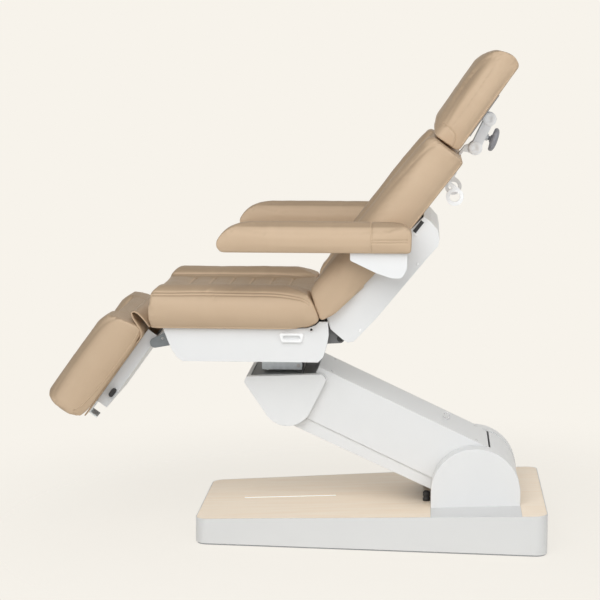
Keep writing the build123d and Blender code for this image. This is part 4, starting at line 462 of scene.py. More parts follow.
@dataclass(frozen=True)
class Paint:
    """Satin paint or moulded shell with rounded edges and faint orange peel."""

    name: str
    colour: Triple
    shade: float = 0.965
    rough: Pair = (0.32, 0.44)
    rounding: float = 0.0012
    glow: float = 0.0

    def material(self) -> bpy.types.Material:
        """Material of this finish."""
        recipe = Recipe(self.name)
        wear_and_painted_shade = recipe.handled(scale=3.5, contrast=1.4)
        low = tuple(part * self.shade for part in self.colour)
        recipe.set(Base_Color=recipe.blend(wear_and_painted_shade, low, self.colour),
                   Roughness=recipe.span(wear_and_painted_shade, *self.rough))
        peel = recipe.noise(recipe.place(), scale=380.0)
        recipe.relief(peel, depth=0.0002, strength=0.18, rounding=self.rounding)
        if self.glow > 0:
            recipe.set(Emission_Color=(1.0, 1.0, 0.98, 1.0), Emission_Strength=self.glow)
        return recipe.material


@dataclass(frozen=True)
class Metal:
    """Bare metal, ground along X or zinc plated."""

    name: str
    colour: Triple
    brush: Brush = Brush.GROUND
    rough: Pair = (0.24, 0.4)
    shade: float = 0.82

    def material(self) -> bpy.types.Material:
        """Material of this finish."""
        recipe = Recipe(self.name)
        if self.brush is Brush.ZINC:
            grain = recipe.add("TexVoronoi", Vector=recipe.place(), Scale=70.0).outputs["Distance"]
        else:
            drawn = recipe.add("Mapping", Vector=recipe.place(), Scale=(0.05, 1.0, 1.0))
            grain = recipe.noise(drawn.outputs["Vector"], scale=900.0)
        low = tuple(part * self.shade for part in self.colour)
        recipe.set(Base_Color=recipe.blend(grain, low, self.colour),
                   Roughness=recipe.span(grain, *self.rough), Metallic=0.85)
        recipe.relief(grain, depth=0.0001, strength=0.25, rounding=0.0006)
        return recipe.material


@dataclass(frozen=True)
class Timber:
    """Pale lacquered timber with its grain along the plinth."""

    name: str
    light: Triple
    dark: Triple
    rough: Pair = (0.38, 0.5)

    def material(self) -> bpy.types.Material:
        """Material of this finish."""
        recipe = Recipe(self.name)
        timber = recipe.add("Group", node_tree=TIMBER).outputs
        streak = recipe.span(timber["Streak"], low=-0.55, high=1.55)
        pore = recipe.span(timber["Pore"], low=-0.5, high=0.5)
        grain = recipe.math("MULTIPLY_ADD", pore, 0.5, streak, clamp=True)
        wear_and_painted_shade = recipe.handled(scale=2.0, contrast=1.0)
        recipe.set(Base_Color=recipe.blend(grain, self.dark, self.light),
                   Roughness=recipe.span(wear_and_painted_shade, *self.rough))
        recipe.relief(timber["Pore"], depth=0.0003, strength=0.25, rounding=0.0008)
        return recipe.material


@dataclass(frozen=True)
class Moulding:
    """Matt plastic, rubber or thread with a fine texture."""

    name: str
    colour: Triple
    rough: Pair = (0.5, 0.68)
    rounding: float = 0.0012

    def material(self) -> bpy.types.Material:
        """Material of this finish."""
        recipe = Recipe(self.name)
        wear_and_painted_shade = recipe.handled(scale=14.0, contrast=1.8)
        pale = tuple(min(1.0, part * 1.25 + 0.004) for part in self.colour)
        recipe.set(Base_Color=recipe.blend(wear_and_painted_shade, self.colour, pale),
                   Roughness=recipe.span(wear_and_painted_shade, *self.rough))
        fine = recipe.noise(recipe.place(), scale=1100.0, detail=1.0)
        recipe.relief(fine, depth=0.0002, strength=0.3, rounding=self.rounding)
        return recipe.material


class Finishes:
    """The chair's finishes, each made into a material once."""

    def __init__(self) -> None:
        """Makes every material."""
        spangle = (0.34, 0.5)
        self.hide = Leather("upholstery", (0.60, 0.448, 0.308), (0.55, 0.405, 0.274)).material()
        self.thread = Moulding("thread", (0.47, 0.335, 0.21), rounding=0.0).material()
        self.shell = Paint("shell_white", (0.80, 0.80, 0.795)).material()
        self.skirt = Paint("skirt_grey", (0.70, 0.70, 0.695)).material()
        self.cap = Paint("cap_white", (0.79, 0.79, 0.785)).material()
        self.wing = Paint("wing_white", (0.83, 0.83, 0.825)).material()
        self.rail = Paint("rail_grey", (0.66, 0.67, 0.68)).material()
        self.steelwork = Paint("steelwork", (0.34, 0.35, 0.37), rough=(0.42, 0.55)).material()
        self.graphite = Paint("graphite", (0.155, 0.155, 0.155), rough=(0.4, 0.52)).material()
        self.cast = Paint("cast_white", (0.86, 0.87, 0.885), rough=(0.36, 0.5)).material()
        self.strip = Paint("strip_white", (0.9, 0.9, 0.88), glow=0.55).material()
        self.boards = Timber("pale_timber", (0.97, 0.85, 0.70), (0.93, 0.76, 0.58)).material()
        self.plywood = Timber("plywood", (0.62, 0.47, 0.32), (0.46, 0.32, 0.2)).material()
        self.bright = Metal("bright_steel", (0.72, 0.72, 0.73)).material()
        self.zinc = Metal("zinc", (0.21, 0.23, 0.245), Brush.ZINC, spangle).material()
        self.galvanised = Metal("galvanised", (0.78, 0.83, 0.87), Brush.ZINC, spangle).material()
        self.black = Moulding("black_plastic", (0.018, 0.018, 0.019)).material()
        self.rubber = Moulding("rubber", (0.03, 0.028, 0.027), (0.7, 0.85)).material()
        self.ivory = Moulding("ivory_plastic", (0.88, 0.88, 0.875), (0.3, 0.45)).material()
        self.grip = Moulding("grip_grey", (0.25, 0.25, 0.27), (0.4, 0.55)).material()


def dress(finish: bpy.types.Material, *names: str) -> None:
    """Gives CAD nodes a finish.

    Args:
        finish: the material.
        names: the nodes.
    """
    for name in names:
        mesh = frame["nodes"][name].data
        mesh.materials.clear()
        mesh.materials.append(finish)
        log.info("dressed %s with %s", name, finish.name)


# Mesh helpers

AXIS_WELD = 1e-6
THREAD_FLATNESS = 0.8
THREAD_RISE = 0.2


def shade_smooth(mesh: bpy.types.Mesh, smooth: bool = True) -> None:
    """Shades every face of a mesh smooth, or every face flat."""
    mesh.polygons.foreach_set("use_smooth", [smooth] * len(mesh.polygons))


def piece(name: str, made: bmesh.types.BMesh, finish: bpy.types.Material,
          smooth: bool = True) -> bpy.types.Object:
    """Object from a bmesh, its place in its mesh.

    Args:
        name: the piece's name.
        made: the finished mesh, which is freed.
        finish: its material.
        smooth: whether its faces are shaded smooth.

    Returns:
        The object, linked to the scene.
    """
    mesh = bpy.data.meshes.new(name)
    made.to_mesh(mesh)
    made.free()
    mesh.materials.append(finish)
    shade_smooth(mesh, smooth)
    made_object = bpy.data.objects.new(name, mesh)
    bpy.context.scene.collection.objects.link(made_object)
    log.info("built %s with %d faces", name, len(mesh.polygons))
    return made_object


def place_on(made: bpy.types.Object, node: str, body: str, replaces: bool = True) -> None:
    """Puts a piece on its body, and hides the CAD node that it stands in for.

    Args:
        made: the piece.
        node: the CAD node that it stands in for.
        body: the body that it rides on.
        replaces: whether it is shown instead of the node.
    """
    if replaces:
        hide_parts(node)
    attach(made, body)


def axes_matrix(x: Vector, y: Vector, z: Vector, origin: Vector) -> Matrix:
    """Matrix with the given axes and place."""
    return Matrix.Translation(origin) @ Matrix((x, y, z)).transposed().to_4x4()


def along_matrix(origin: Vector, along: Vector, up: Vector) -> Matrix:
    """Matrix whose X runs along one direction and whose Z leans towards another."""
    x = along.normalized()
    y = up.cross(x).normalized()
    return axes_matrix(x, y, x.cross(y), origin)


def up_matrix(origin: Vector, up: Vector, side: Vector) -> Matrix:
    """Matrix whose Z runs along one direction and whose X leans towards another."""
    z = up.normalized()
    y = z.cross(side).normalized()
    return axes_matrix(y.cross(z), y, z, origin)


def tangents(path: Sequence[Spot]) -> list[Vector]:
    """Direction of a path at each of its spots."""
    spots = [spot for spot, _ in path]
    last = len(spots) - 1
    return [(spots[min(index + 1, last)] - spots[max(index - 1, 0)]).normalized()
            for index in range(len(spots))]


def ring_edges(ring: Sequence[bmesh.types.BMVert]) -> list[bmesh.types.BMEdge]:
    """Edges between the vertices of a ring."""
    return list({edge for vert in ring for edge in vert.link_edges if edge.other_vert(vert) in ring})


def add_piping(made: bmesh.types.BMesh, path: Sequence[Spot], radius: float, sink: float) -> None:
    """Adds a round cord along a path on a surface.

    Args:
        made: the mesh it goes into.
        path: places on the surface and the surface's normals there.
        radius: radius of the cord.
        sink: how deep its centre lies below the surface.
    """
    rings = []
    for (spot, normal), along in zip(path, tangents(path)):
        matrix = along_matrix(spot - normal * sink, normal, along)
        ring = bmesh.ops.create_circle(made, cap_ends=False, segments=8, radius=radius, matrix=matrix)
        rings.append(ring["verts"])
    for first, second in zip(rings, rings[1:]):
        bmesh.ops.bridge_loops(made, edges=[*ring_edges(first), *ring_edges(second)])
    for ring in (rings[0], rings[-1]):
        bmesh.ops.edgeloop_fill(made, edges=ring_edges(ring))


def add_stitches(made: bmesh.types.BMesh, path: Sequence[Spot], length: float, radius: float) -> None:
    """Adds one flattened thread stitch, half sunk, at each spot of a path.

    Args:
        made: the mesh they go into.
        path: places on the surface and the surface's normals there.
        length: length of a stitch.
        radius: half the thickness of the thread.
    """
    size = Matrix.Diagonal((length / 2, radius, radius * THREAD_FLATNESS, 1.0))
    for (spot, normal), along in zip(path, tangents(path)):
        matrix = along_matrix(spot + normal * radius * THREAD_RISE, along, normal)
        bmesh.ops.create_icosphere(made, subdivisions=1, radius=1.0, matrix=matrix @ size)


def add_turned(made: bmesh.types.BMesh, profile: Sequence[Pair], place: Matrix,
               steps: int = 24) -> None:
    """Adds a turned form. Its vertices are tagged, so that the next form leaves them alone.

    Args:
        made: the mesh it goes into.
        profile: radius and height of the outline's points, from the axis back to the axis.
        place: where its foot and axis, its own +Z, lie.
        steps: number of faces round it.
    """
    verts = [made.verts.new((radius, 0.0, height)) for radius, height in profile]
    edges = [made.edges.new(pair) for pair in zip(verts, verts[1:])]
    bmesh.ops.spin(made, geom=[*verts, *edges], cent=(0, 0, 0), axis=(0, 0, 1),
                   angle=math.tau, steps=steps, use_merge=True)
    bmesh.ops.remove_doubles(made, verts=[vert for vert in made.verts if not vert.tag], dist=AXIS_WELD)
    fresh = [vert for vert in made.verts if not vert.tag]
    faces = {face for vert in fresh for face in vert.link_faces}
    bmesh.ops.recalc_face_normals(made, faces=list(faces))
    bmesh.ops.transform(made, matrix=place, verts=fresh)
    for vert in fresh:
        vert.tag = True


def add_screw_head(made: bmesh.types.BMesh, place: Matrix, radius: float, rise: float) -> None:
    """Adds the domed head of a screw."""
    profile = [(0.0, 0.0), (radius, 0.0), (radius, rise * 0.4), (radius * 0.6, rise * 0.9), (0.0, rise)]
    add_turned(made, profile, place, steps=16)


# Upholstery

# Where a cover is held: height up to which its board holds it and the fade above that,
# width of the hold beside a sewn line, and the share of a normal that counts as the top.
BOARD_GRIP = 0.004
BOARD_FADE = 0.006
SEWN_WIDTH = 0.006
TOP_SHARE = 0.2
# Start and width of the ramps by which a normal counts as a flank's or the top's.
FLANK_RAMP = (0.3, 0.35)
TOP_RAMP = (0.0, 0.5)
# Share of a pad's height above which its panel lines run, and the height where belts end.
PANEL_FROM = 0.4
BELT_FROM = 0.002
# Cross channels, the piping's cord and the stitches.
CHANNEL_PITCH = 0.062
CHANNEL_FADE = 0.012
CORD_PITCH = 0.008
CORD_SINK = 0.0008
STITCH_PITCH = 0.0062
STITCH_LENGTH = 0.0042
STITCH_ASIDE = 0.003
THREAD_RADIUS = 0.0005
# Skins: points closer than the weld are one, faces within the reach of a seam are halved,
# and seams lie only outside the inner share of a pad's width.
SKIN_WELD = 2e-5
LINE_PITCH = 0.01
FINE_REACH = 0.009
INNER_SHARE = 0.6
# Room for swelling and soft creases.
LEAST_ROOM = 0.05
LEAST_BASE_ROOM = 0.2
CREASE_HEIGHT = 0.00035
CREASE_RAMP = (0.0, 0.02)
# Rays start this far outside a flank, or at these shares of the section round a belt.
RAY_START = 0.05
BELT_CORE = 0.4
BELT_RISE = 1.5
BELT_REACH = 1.6
CLOTH_STEPS = 20
CLOTH = {
    "quality": 4, "mass": 0.3, "tension_stiffness": 12, "compression_stiffness": 12,
    "shear_stiffness": 6, "bending_stiffness": 0.8, "air_damping": 2, "use_pressure": True,
    "uniform_pressure_force": 4, "vertex_group_mass": "sewn",
}


@dataclass(frozen=True)
class Groove:
    """Line pressed into a cover."""

    depth: float
    width: float

    def press(self, distance: np.ndarray) -> np.ndarray:
        """Depth at each distance from the line."""
        return self.depth * hump(distance, self.width)


CHANNEL_GROOVE = Groove(0.0026, 0.005)
PANEL_GROOVE = Groove(0.0022, 0.005)
STITCHED_GROOVE = Groove(0.0019, 0.0026)


@dataclass(frozen=True)
class Seam:
    """Sewn line on a pad's flank, as points along the pad and above its base."""

    points: Sequence[Pair]
    groove: Groove = STITCHED_GROOVE
    thread: bool = True

    def distance(self, s: np.ndarray, t: np.ndarray) -> np.ndarray:
        """Distance of each point from the seam, seen from the side."""
        return distance_to_line(s, t, dense_line(self.points, LINE_PITCH))


def channel_rows(first: float, count: int) -> list[float]:
    """Places of even cross channels along a pad."""
    return [first + index * CHANNEL_PITCH for index in range(count)]


def soft_waves(s: np.ndarray, t: np.ndarray, y: np.ndarray) -> np.ndarray:
    """Three bent waves of different length, about one high, for creases without a pattern."""
    return (
        np.sin(31 * s + 17 * y + 2.2 * np.sin(23 * y + 9 * s))
        + 0.6 * np.sin(83 * s - 41 * y + 1.7 * np.sin(37 * s + 5 * t))
        + 0.5 * np.sin(67 * t + 29 * s + 19 * y)
    )


def points_of(mesh: bpy.types.Mesh, what: str = "co") -> np.ndarray:
    """Vertex places of a mesh, or its vertex normals, as an n by 3 array."""
    flat = np.empty(len(mesh.vertices) * 3)
    mesh.vertices.foreach_get(what, flat)
    return flat.reshape(-1, 3)


def move_to(mesh: bpy.types.Mesh, points: np.ndarray) -> None:
    """Sets the vertex places of a mesh."""
    mesh.vertices.foreach_set("co", points.ravel())
    mesh.update()


def settle(skin: bpy.types.Object) -> None:
    """Applies an object's modifiers to its mesh."""
    graph = bpy.context.evaluated_depsgraph_get()
    mesh = bpy.data.meshes.new_from_object(skin.evaluated_get(graph))
    old = skin.data
    skin.modifiers.clear()
    skin.data = mesh
    bpy.data.meshes.remove(old)


@dataclass
class Pad:
    """Foam pad under a sewn cover, swelled from its CAD form.

    The coordinates of its seams run along the pad from its start, and up from its base.
    Its calm ramps say where along it the cover has no room, and how far from there it has all.
    """

    name: str
    node: str
    body: str
    side: SideFrame
    start: float
    level: float
    height: float
    half: float
    middle: float = 0.0
    voxel: float = 0.006
    shrink: float = 0.002
    swell: float = 0.006
    fill: float = 0.85
    panel: float = 0.0
    channels: Sequence[float] = ()
    channel_half: float = 0.165
    seams: Sequence[Seam] = ()
    belts: Sequence[float] = ()
    welts: Sequence[Sequence[Pair]] = ()
    welt_radius: float = 0.0025
    calm: Sequence[Pair] = ()
    calm_base: float = 0.0
    surface: Optional[BVHTree] = field(default=None, repr=False)

    def local(self, points: np.ndarray) -> tuple[np.ndarray, np.ndarray, np.ndarray]:
        """Places of many points along, above and across the pad.

        Args:
            points: an n by 3 array in the row frame.

        Returns:
            Distances from the start, above the base and from the middle.
        """
        own = self.side.local(points)
        return own[:, 0] - self.start, own[:, 1] - self.level, own[:, 2] - self.middle

    def at(self, s: float, t: float, y: float) -> Vector:
        """Place of a point given along, above and across the pad."""
        return self.side.at(self.start + s, self.level + t, self.middle + y)

    def up(self) -> np.ndarray:
        """Direction out of the pad's top."""
        return np.array(self.side.direction(0.0, 1.0))

    def blank(self) -> bpy.types.Object:
        """Even quad skin of the CAD form.

        Returns:
            A new object with the skin.
        """
        copy = bmesh.new()
        copy.from_mesh(frame["nodes"][self.node].data)
        bmesh.ops.remove_doubles(copy, verts=copy.verts, dist=SKIN_WELD)
        bmesh.ops.recalc_face_normals(copy, faces=copy.faces)
        mesh = bpy.data.meshes.new(self.name + "_blank")
        copy.to_mesh(mesh)
        copy.free()
        skin = bpy.data.objects.new(self.name, mesh)
        bpy.context.scene.collection.objects.link(skin)
        remesh = skin.modifiers.new("skin", "REMESH")
        remesh.mode = "VOXEL"
        remesh.voxel_size = self.voxel
        remesh.use_smooth_shade = True
        settle(skin)
        return skin

    def held(self, points: np.ndarray, normals: np.ndarray) -> np.ndarray:
        """How firmly the cover is held at each point: by the board under it or by a sewn line.

        Args:
            points: vertex places.
            normals: vertex normals.

        Returns:
            Weights from zero to one.
        """
        s, t, y = self.local(points)
        hold = 1 - ramp(t, BOARD_GRIP, BOARD_FADE)
        top = normals @ self.up() > TOP_SHARE
        for place in self.channels:
            line = hump(s - place, SEWN_WIDTH) * top * (np.abs(y) < self.channel_half)
            hold = np.maximum(hold, line)
        if self.panel > 0:
            line = hump(np.abs(y) - self.panel, SEWN_WIDTH) * top
            hold = np.maximum(hold, line * (t > self.height * PANEL_FROM))
        return hold

    def inflate(self, skin: bpy.types.Object) -> None:
        """Swells the skin with Blender's cloth and caps how far it moves.

        Args:
            skin: the even skin, changed in place.
        """
        rest = points_of(skin.data)
        normals = points_of(skin.data, "normal")
        hold = self.held(rest, normals)
        move_to(skin.data, rest - normals * (self.shrink * (1 - hold))[:, None])
        group = skin.vertex_groups.new(name=CLOTH["vertex_group_mass"])
        for least, weight in ((0.5, 0.5), (0.98, 1.0)):
            group.add(np.nonzero(hold >= least)[0].tolist(), weight, "REPLACE")
        cloth = skin.modifiers.new("cover", "CLOTH")
        for key, value in CLOTH.items():
            setattr(cloth.settings, key, value)
        cloth.settings.effector_weights.gravity = 0
        cloth.collision_settings.use_collision = False
        cloth.point_cache.frame_start = 1
        cloth.point_cache.frame_end = CLOTH_STEPS
        scene = bpy.context.scene
        for step in range(1, CLOTH_STEPS + 1):
            scene.frame_set(step)
        graph = bpy.context.evaluated_depsgraph_get()
        moved = points_of(skin.evaluated_get(graph).data) - rest
        skin.modifiers.clear()
        scene.frame_set(1)
        cap = self.swell * self.reach(rest)
        size = np.linalg.norm(moved, axis=1)
        moved *= np.minimum(1.0, cap / np.maximum(size, 1e-9))[:, None]
        move_to(skin.data, rest + moved)

    def reach(self, points: np.ndarray) -> np.ndarray:
        """Share of the swelling allowed at each point, small beside the pad's neighbours."""
        s, t, _ = self.local(points)
        room = np.ones(len(points))
        for start, width in self.calm:
            room = np.minimum(room, ramp(s, start, width))
        if self.calm_base > 0:
            room = np.minimum(room, np.clip(t / self.calm_base, LEAST_BASE_ROOM, 1))
        return np.clip(room, LEAST_ROOM, 1.0)

    def refine(self, skin: bpy.types.Object) -> None:
        """Halves the faces beside the sewn lines, so that these stay crisp.

        Args:
            skin: the skin, changed in place.
        """
        s, t, y = self.local(points_of(skin.data))
        gap = np.full(len(s), np.inf)
        inner = np.abs(y) < self.half * INNER_SHARE
        for seam in self.seams:
            gap = np.minimum(gap, np.where(inner, np.inf, seam.distance(s, t)))
        for place in self.belts:
            gap = np.minimum(gap, np.abs(s - place))
        near = gap < FINE_REACH
        made = bmesh.new()
        made.from_mesh(skin.data)
        beside = [face for face in made.faces if all(near[vert.index] for vert in face.verts)]
        edges = list({edge for face in beside for edge in face.edges})
        if edges:
            bmesh.ops.subdivide_edges(made, edges=edges, cuts=1, use_grid_fill=True)
        made.to_mesh(skin.data)
        made.free()

    def sunk(self, points: np.ndarray, normals: np.ndarray) -> np.ndarray:
        """How deep the sewn lines press the cover in at each point.

        Args:
            points: vertex places.
            normals: vertex normals.

        Returns:
            Depths in metres.
        """
        s, t, y = self.local(points)
        flank = ramp(np.abs(normals[:, 1]), *FLANK_RAMP)
        top = ramp(normals @ self.up(), *TOP_RAMP)
        depth = np.zeros(len(points))
        for seam in self.seams:
            depth += seam.groove.press(seam.distance(s, t)) * flank
        for place in self.belts:
            depth += STITCHED_GROOVE.press(s - place) * (t > BELT_FROM)
        edge = ramp(np.abs(y), self.channel_half, -CHANNEL_FADE)
        for place in self.channels:
            depth += CHANNEL_GROOVE.press(s - place) * top * edge
        if self.panel > 0:
            line = PANEL_GROOVE.press(np.abs(y) - self.panel)
            depth += line * top * (t > self.height * PANEL_FROM)
        return depth

    def sculpt(self, skin: bpy.types.Object) -> None:
        """Presses seams and channels into the cover and gives it soft creases.

        The cover stays above the pad's base and within its width.

        Args:
            skin: the finished skin, changed in place.
        """
        points = points_of(skin.data)
        normals = points_of(skin.data, "normal")
        s, t, y = self.local(points)
        soft = CREASE_HEIGHT * soft_waves(s, t, y) * ramp(t, *CREASE_RAMP) * self.reach(points)
        points += normals * (soft - self.sunk(points, normals))[:, None]
        below = np.clip(-self.local(points)[1], 0, None)
        points += self.up() * below[:, None]
        across = points[:, 1] - self.middle
        points[:, 1] = self.middle + across * min(1.0, self.half / np.abs(across).max())
        move_to(skin.data, points)

    def flank_path(self, points: Sequence[Pair], flank: Flank, pitch: float) -> list[Spot]:
        """Path on a flank along a smooth line, found from outside.

        Args:
            points: the line's points, along the pad and above its base.
            flank: the side that is meant.
            pitch: wanted distance between spots.

        Returns:
            The spots that were found, with their normals.
        """
        path = []
        for s, t in dense_line(points, pitch):
            origin = self.at(s, t, flank.value * (self.half + RAY_START))
            spot, normal, _, _ = self.surface.ray_cast(origin, Y_WAY * -flank.value, self.half)
            if spot is not None:
                path.append((spot, normal))
        return path

    def belt_path(self, place: float, pitch: float) -> list[Spot]:
        """Path round the pad's section at a place along it.

        Args:
            place: distance along the pad.
            pitch: wanted distance between spots.

        Returns:
            The spots from one lower edge over the top to the other.
        """
        count = max(8, round((2 * self.half + 2 * self.height) / pitch))
        centre = self.at(place, self.height * BELT_CORE, 0.0)
        path = []
        for index in range(count + 1):
            turn = math.pi * (index / count)
            rise = self.height * (BELT_CORE + BELT_RISE * math.sin(turn))
            outer = self.at(place, rise, -BELT_REACH * self.half * math.cos(turn))
            spot, normal, _, _ = self.surface.ray_cast(outer, (centre - outer).normalized())
            if spot is not None:
                path.append((spot, normal))
        return path

    def trim(self, finishes: Finishes, skin: bpy.types.Object) -> list[bpy.types.Object]:
        """Piping and stitching on the finished skin.

        Args:
            finishes: the chair's materials.
            skin: the pad's object.

        Returns:
            The new pieces.
        """
        mesh = bmesh.new()
        mesh.from_mesh(skin.data)
        self.surface = BVHTree.FromBMesh(mesh)
        mesh.free()
        made: list[bpy.types.Object] = []
        if self.welts:
            cord = bmesh.new()
            for line in self.welts:
                for flank in Flank:
                    path = self.flank_path(line, flank, CORD_PITCH)
                    add_piping(cord, path, self.welt_radius, CORD_SINK)
            bmesh.ops.recalc_face_normals(cord, faces=cord.faces)
            made.append(piece(self.name + "_piping", cord, finishes.hide))
        threaded = [seam for seam in self.seams if seam.thread]
        paths = [self.flank_path(seam.points, flank, STITCH_PITCH)
                 for seam in threaded for flank in Flank]
        paths += [self.belt_path(place - STITCH_ASIDE, STITCH_PITCH) for place in self.belts]
        if paths:
            thread = bmesh.new()
            for path in paths:
                add_stitches(thread, path, STITCH_LENGTH, THREAD_RADIUS)
            made.append(piece(self.name + "_stitching", thread, finishes.thread))
        return made

    def build(self, finishes: Finishes) -> bpy.types.Object:
        """Makes the pad and its trim, and puts them on their body.

        Args:
            finishes: the chair's materials.

        Returns:
            The pad's object.
        """
        skin = self.blank()
        self.inflate(skin)
        smooth = skin.modifiers.new("smooth", "SUBSURF")
        smooth.levels = smooth.render_levels = 1
        settle(skin)
        skin.vertex_groups.clear()
        self.refine(skin)
        self.sculpt(skin)
        skin.data.materials.clear()
        skin.data.materials.append(finishes.hide)
        shade_smooth(skin.data)
        for extra in self.trim(finishes, skin):
            place_on(extra, self.node, self.body, replaces=False)
        place_on(skin, self.node, self.body)
        log.info("upholstered %s: %d faces", self.name, len(skin.data.polygons))
        return skin


# Sub-assemblies


@dataclass
class Plinth:
    """Plinth with its skirt, timber boards, light strip, inlet and buffers."""

    buffer_radius: float = 0.011
    buffer_rib: float = 0.0012
    buffer_edge: float = 0.003

    def build(self, finishes: Finishes) -> None:
        """Dresses the plinth's nodes and builds its buffers."""
        dress(finishes.skirt, "plinth_shell")
        dress(finishes.boards, "plinth_board_foot", "plinth_board_head")
        dress(finishes.strip, "light_strip")
        dress(finishes.cap, "hub_cap_near", "hub_cap_far")
        dress(finishes.steelwork, "base_chassis", "lift_drive", "control_box")
        dress(finishes.bright, "hub_shafts", "lift_rod")
        dress(finishes.black, "power_inlet")
        self.buffers(finishes)

    def buffers(self, finishes: Finishes) -> None:
        """Ribbed rubber buffers on the foot board."""
        low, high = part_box("arm_buffers")
        made = bmesh.new()
        height = high.z - low.z
        r, waist, edge = self.buffer_radius, self.buffer_radius - self.buffer_rib, self.buffer_edge
        profile = [
            (0.0, 0.0), (r, 0.0), (r, height * 0.3), (waist, height * 0.35), (waist, height * 0.5),
            (r, height * 0.55), (r, height - edge), (r - edge, height), (0.0, height),
        ]
        for y in (low.y + r, high.y - r):
            add_turned(made, profile, Matrix.Translation(((low.x + high.x) / 2, y, low.z)))
        place_on(piece("ribbed_buffers", made, finishes.rubber), "arm_buffers", "base")


@dataclass
class LiftArm:
    """Lift arm, its lower link, the carrier and the tilt drive."""

    base: SideFrame = field(default_factory=lambda: joint_frame("carrier_turn", -25.2))
    screw_radius: float = 0.005
    screw_rise: float = 0.0018
    screw_level: float = 0.132
    screw_places: Pair = (0.084, 0.5696)
    screw_half: float = 0.11

    def build(self, finishes: Finishes) -> None:
        """Dresses the arm's nodes and builds its screw heads."""
        dress(finishes.cap, "lift_arm_cover", "lower_link_cover", "carrier_cover")
        dress(finishes.steelwork, "lift_arm_frame", "lower_link_frame", "tilt_drive")
        dress(finishes.graphite, "carrier_block")
        dress(finishes.bright, "carrier_pins", "tilt_rod", "cable_loop")
        dress(finishes.galvanised, "tilt_plate")
        self.screws(finishes)

    def screws(self, finishes: Finishes) -> None:
        """Domed heads on the arm cover."""
        up = self.base.direction(0.0, 1.0)
        made = bmesh.new()
        for along in self.screw_places:
            for flank in Flank:
                spot = self.base.at(along, self.screw_level, flank.value * self.screw_half)
                place = up_matrix(spot, up, Y_WAY)
                add_screw_head(made, place, self.screw_radius, self.screw_rise)
        heads = piece("arm_screw_heads", made, finishes.bright)
        place_on(heads, "arm_cover_screws", "lift_arm")


@dataclass
class Seat:
    """Seat with its tub, loops, sockets, hinges and upholstery."""

    base: SideFrame = field(default_factory=lambda: joint_frame("carrier_turn"))
    stitch_rows: float = 0.0075

    def build(self, finishes: Finishes) -> None:
        """Dresses the seat's nodes and upholsters it."""
        dress(finishes.shell, "seat_undercover")
        dress(finishes.steelwork, "seat_frame", "leg_drive")
        dress(finishes.ivory, "strap_loops")
        dress(finishes.bright, "socket_eyelets", "leg_rod")
        dress(finishes.graphite, "back_hinge_plates")
        dress(finishes.black, "back_hinge_pins")
        dress(finishes.zinc, "leg_hinge_brackets")
        self.pad().build(finishes)

    def pad(self) -> Pad:
        """Seat pad with cross channels, double stitching and piping."""
        upper = [(0.014, 0.109), (0.16, 0.1105), (0.30, 0.110), (0.38, 0.1085), (0.45, 0.099),
                 (0.476, 0.086)]
        lower = [(s, t - self.stitch_rows) for s, t in upper]
        skirt = [(0.010, 0.009), (0.03, 0.0045), (0.2, 0.0045), (0.42, 0.0045), (0.465, 0.0095),
                 (0.492, 0.021)]
        return Pad(
            "seat_pad", "seat_cushion", "seat", self.base, start=-0.403, level=0.234,
            height=0.134, half=0.300, panel=0.178, channels=channel_rows(0.092, 6),
            seams=[Seam(upper), Seam(lower)], welts=[skirt], calm=[(0.47, -0.06), (-0.0105, 0.03)],
        )


@dataclass
class Back:
    """Back with its shell, grab rings, drive and upholstery."""

    base: SideFrame = field(default_factory=lambda: joint_frame("back_recline", 52.3))
    screw_radius: float = 0.004
    screw_rise: float = 0.0015
    shell_length: float = 0.454
    shell_depth: float = 0.054
    shell_half: float = 0.240
    screw_shares: Sequence[Pair] = ((0.846, 0.296), (0.703, -0.778), (0.13, -0.556))

    def build(self, finishes: Finishes) -> None:
        """Dresses the back's nodes and upholsters it."""
        dress(finishes.shell, "back_shell")
        dress(finishes.steelwork, "back_frame", "recline_drive")
        dress(finishes.bright, "recline_rod")
        dress(finishes.black, "side_tag")
        dress(finishes.ivory, "grab_rings")
        self.screws(finishes)
        self.pad().build(finishes)

    def screws(self, finishes: Finishes) -> None:
        """Domed heads on both flanks of the shell."""
        made = bmesh.new()
        for along, level in self.screw_shares:
            for flank in Flank:
                spot = self.base.at(along * self.shell_length, level * self.shell_depth,
                                    flank.value * self.shell_half)
                place = up_matrix(spot, Y_WAY * flank.value, X_WAY)
                add_screw_head(made, place, self.screw_radius, self.screw_rise)
        place_on(piece("shell_screw_heads", made, finishes.ivory), "shell_screws", "back")

    def pad(self) -> Pad:
        """Back pad with cross channels, bolsters and piping beside the shell."""
        crease = [(0.20, 0.118), (0.30, 0.126), (0.42, 0.124), (0.53, 0.116), (0.60, 0.106),
                  (0.618, 0.09)]
        skirt = [(0.245, 0.004), (0.35, 0.004), (0.5, 0.004), (0.605, 0.004), (0.62, 0.01)]
        return Pad(
            "back_pad", "back_cushion", "back", self.base, start=0.012, level=0.037,
            height=0.142, half=0.290, panel=0.172, channels=channel_rows(0.108, 7),
            seams=[Seam(crease, Groove(0.0014, 0.0055), thread=False)], welts=[skirt],
            calm=[(0.10, 0.08), (0.62, -0.03)],
        )


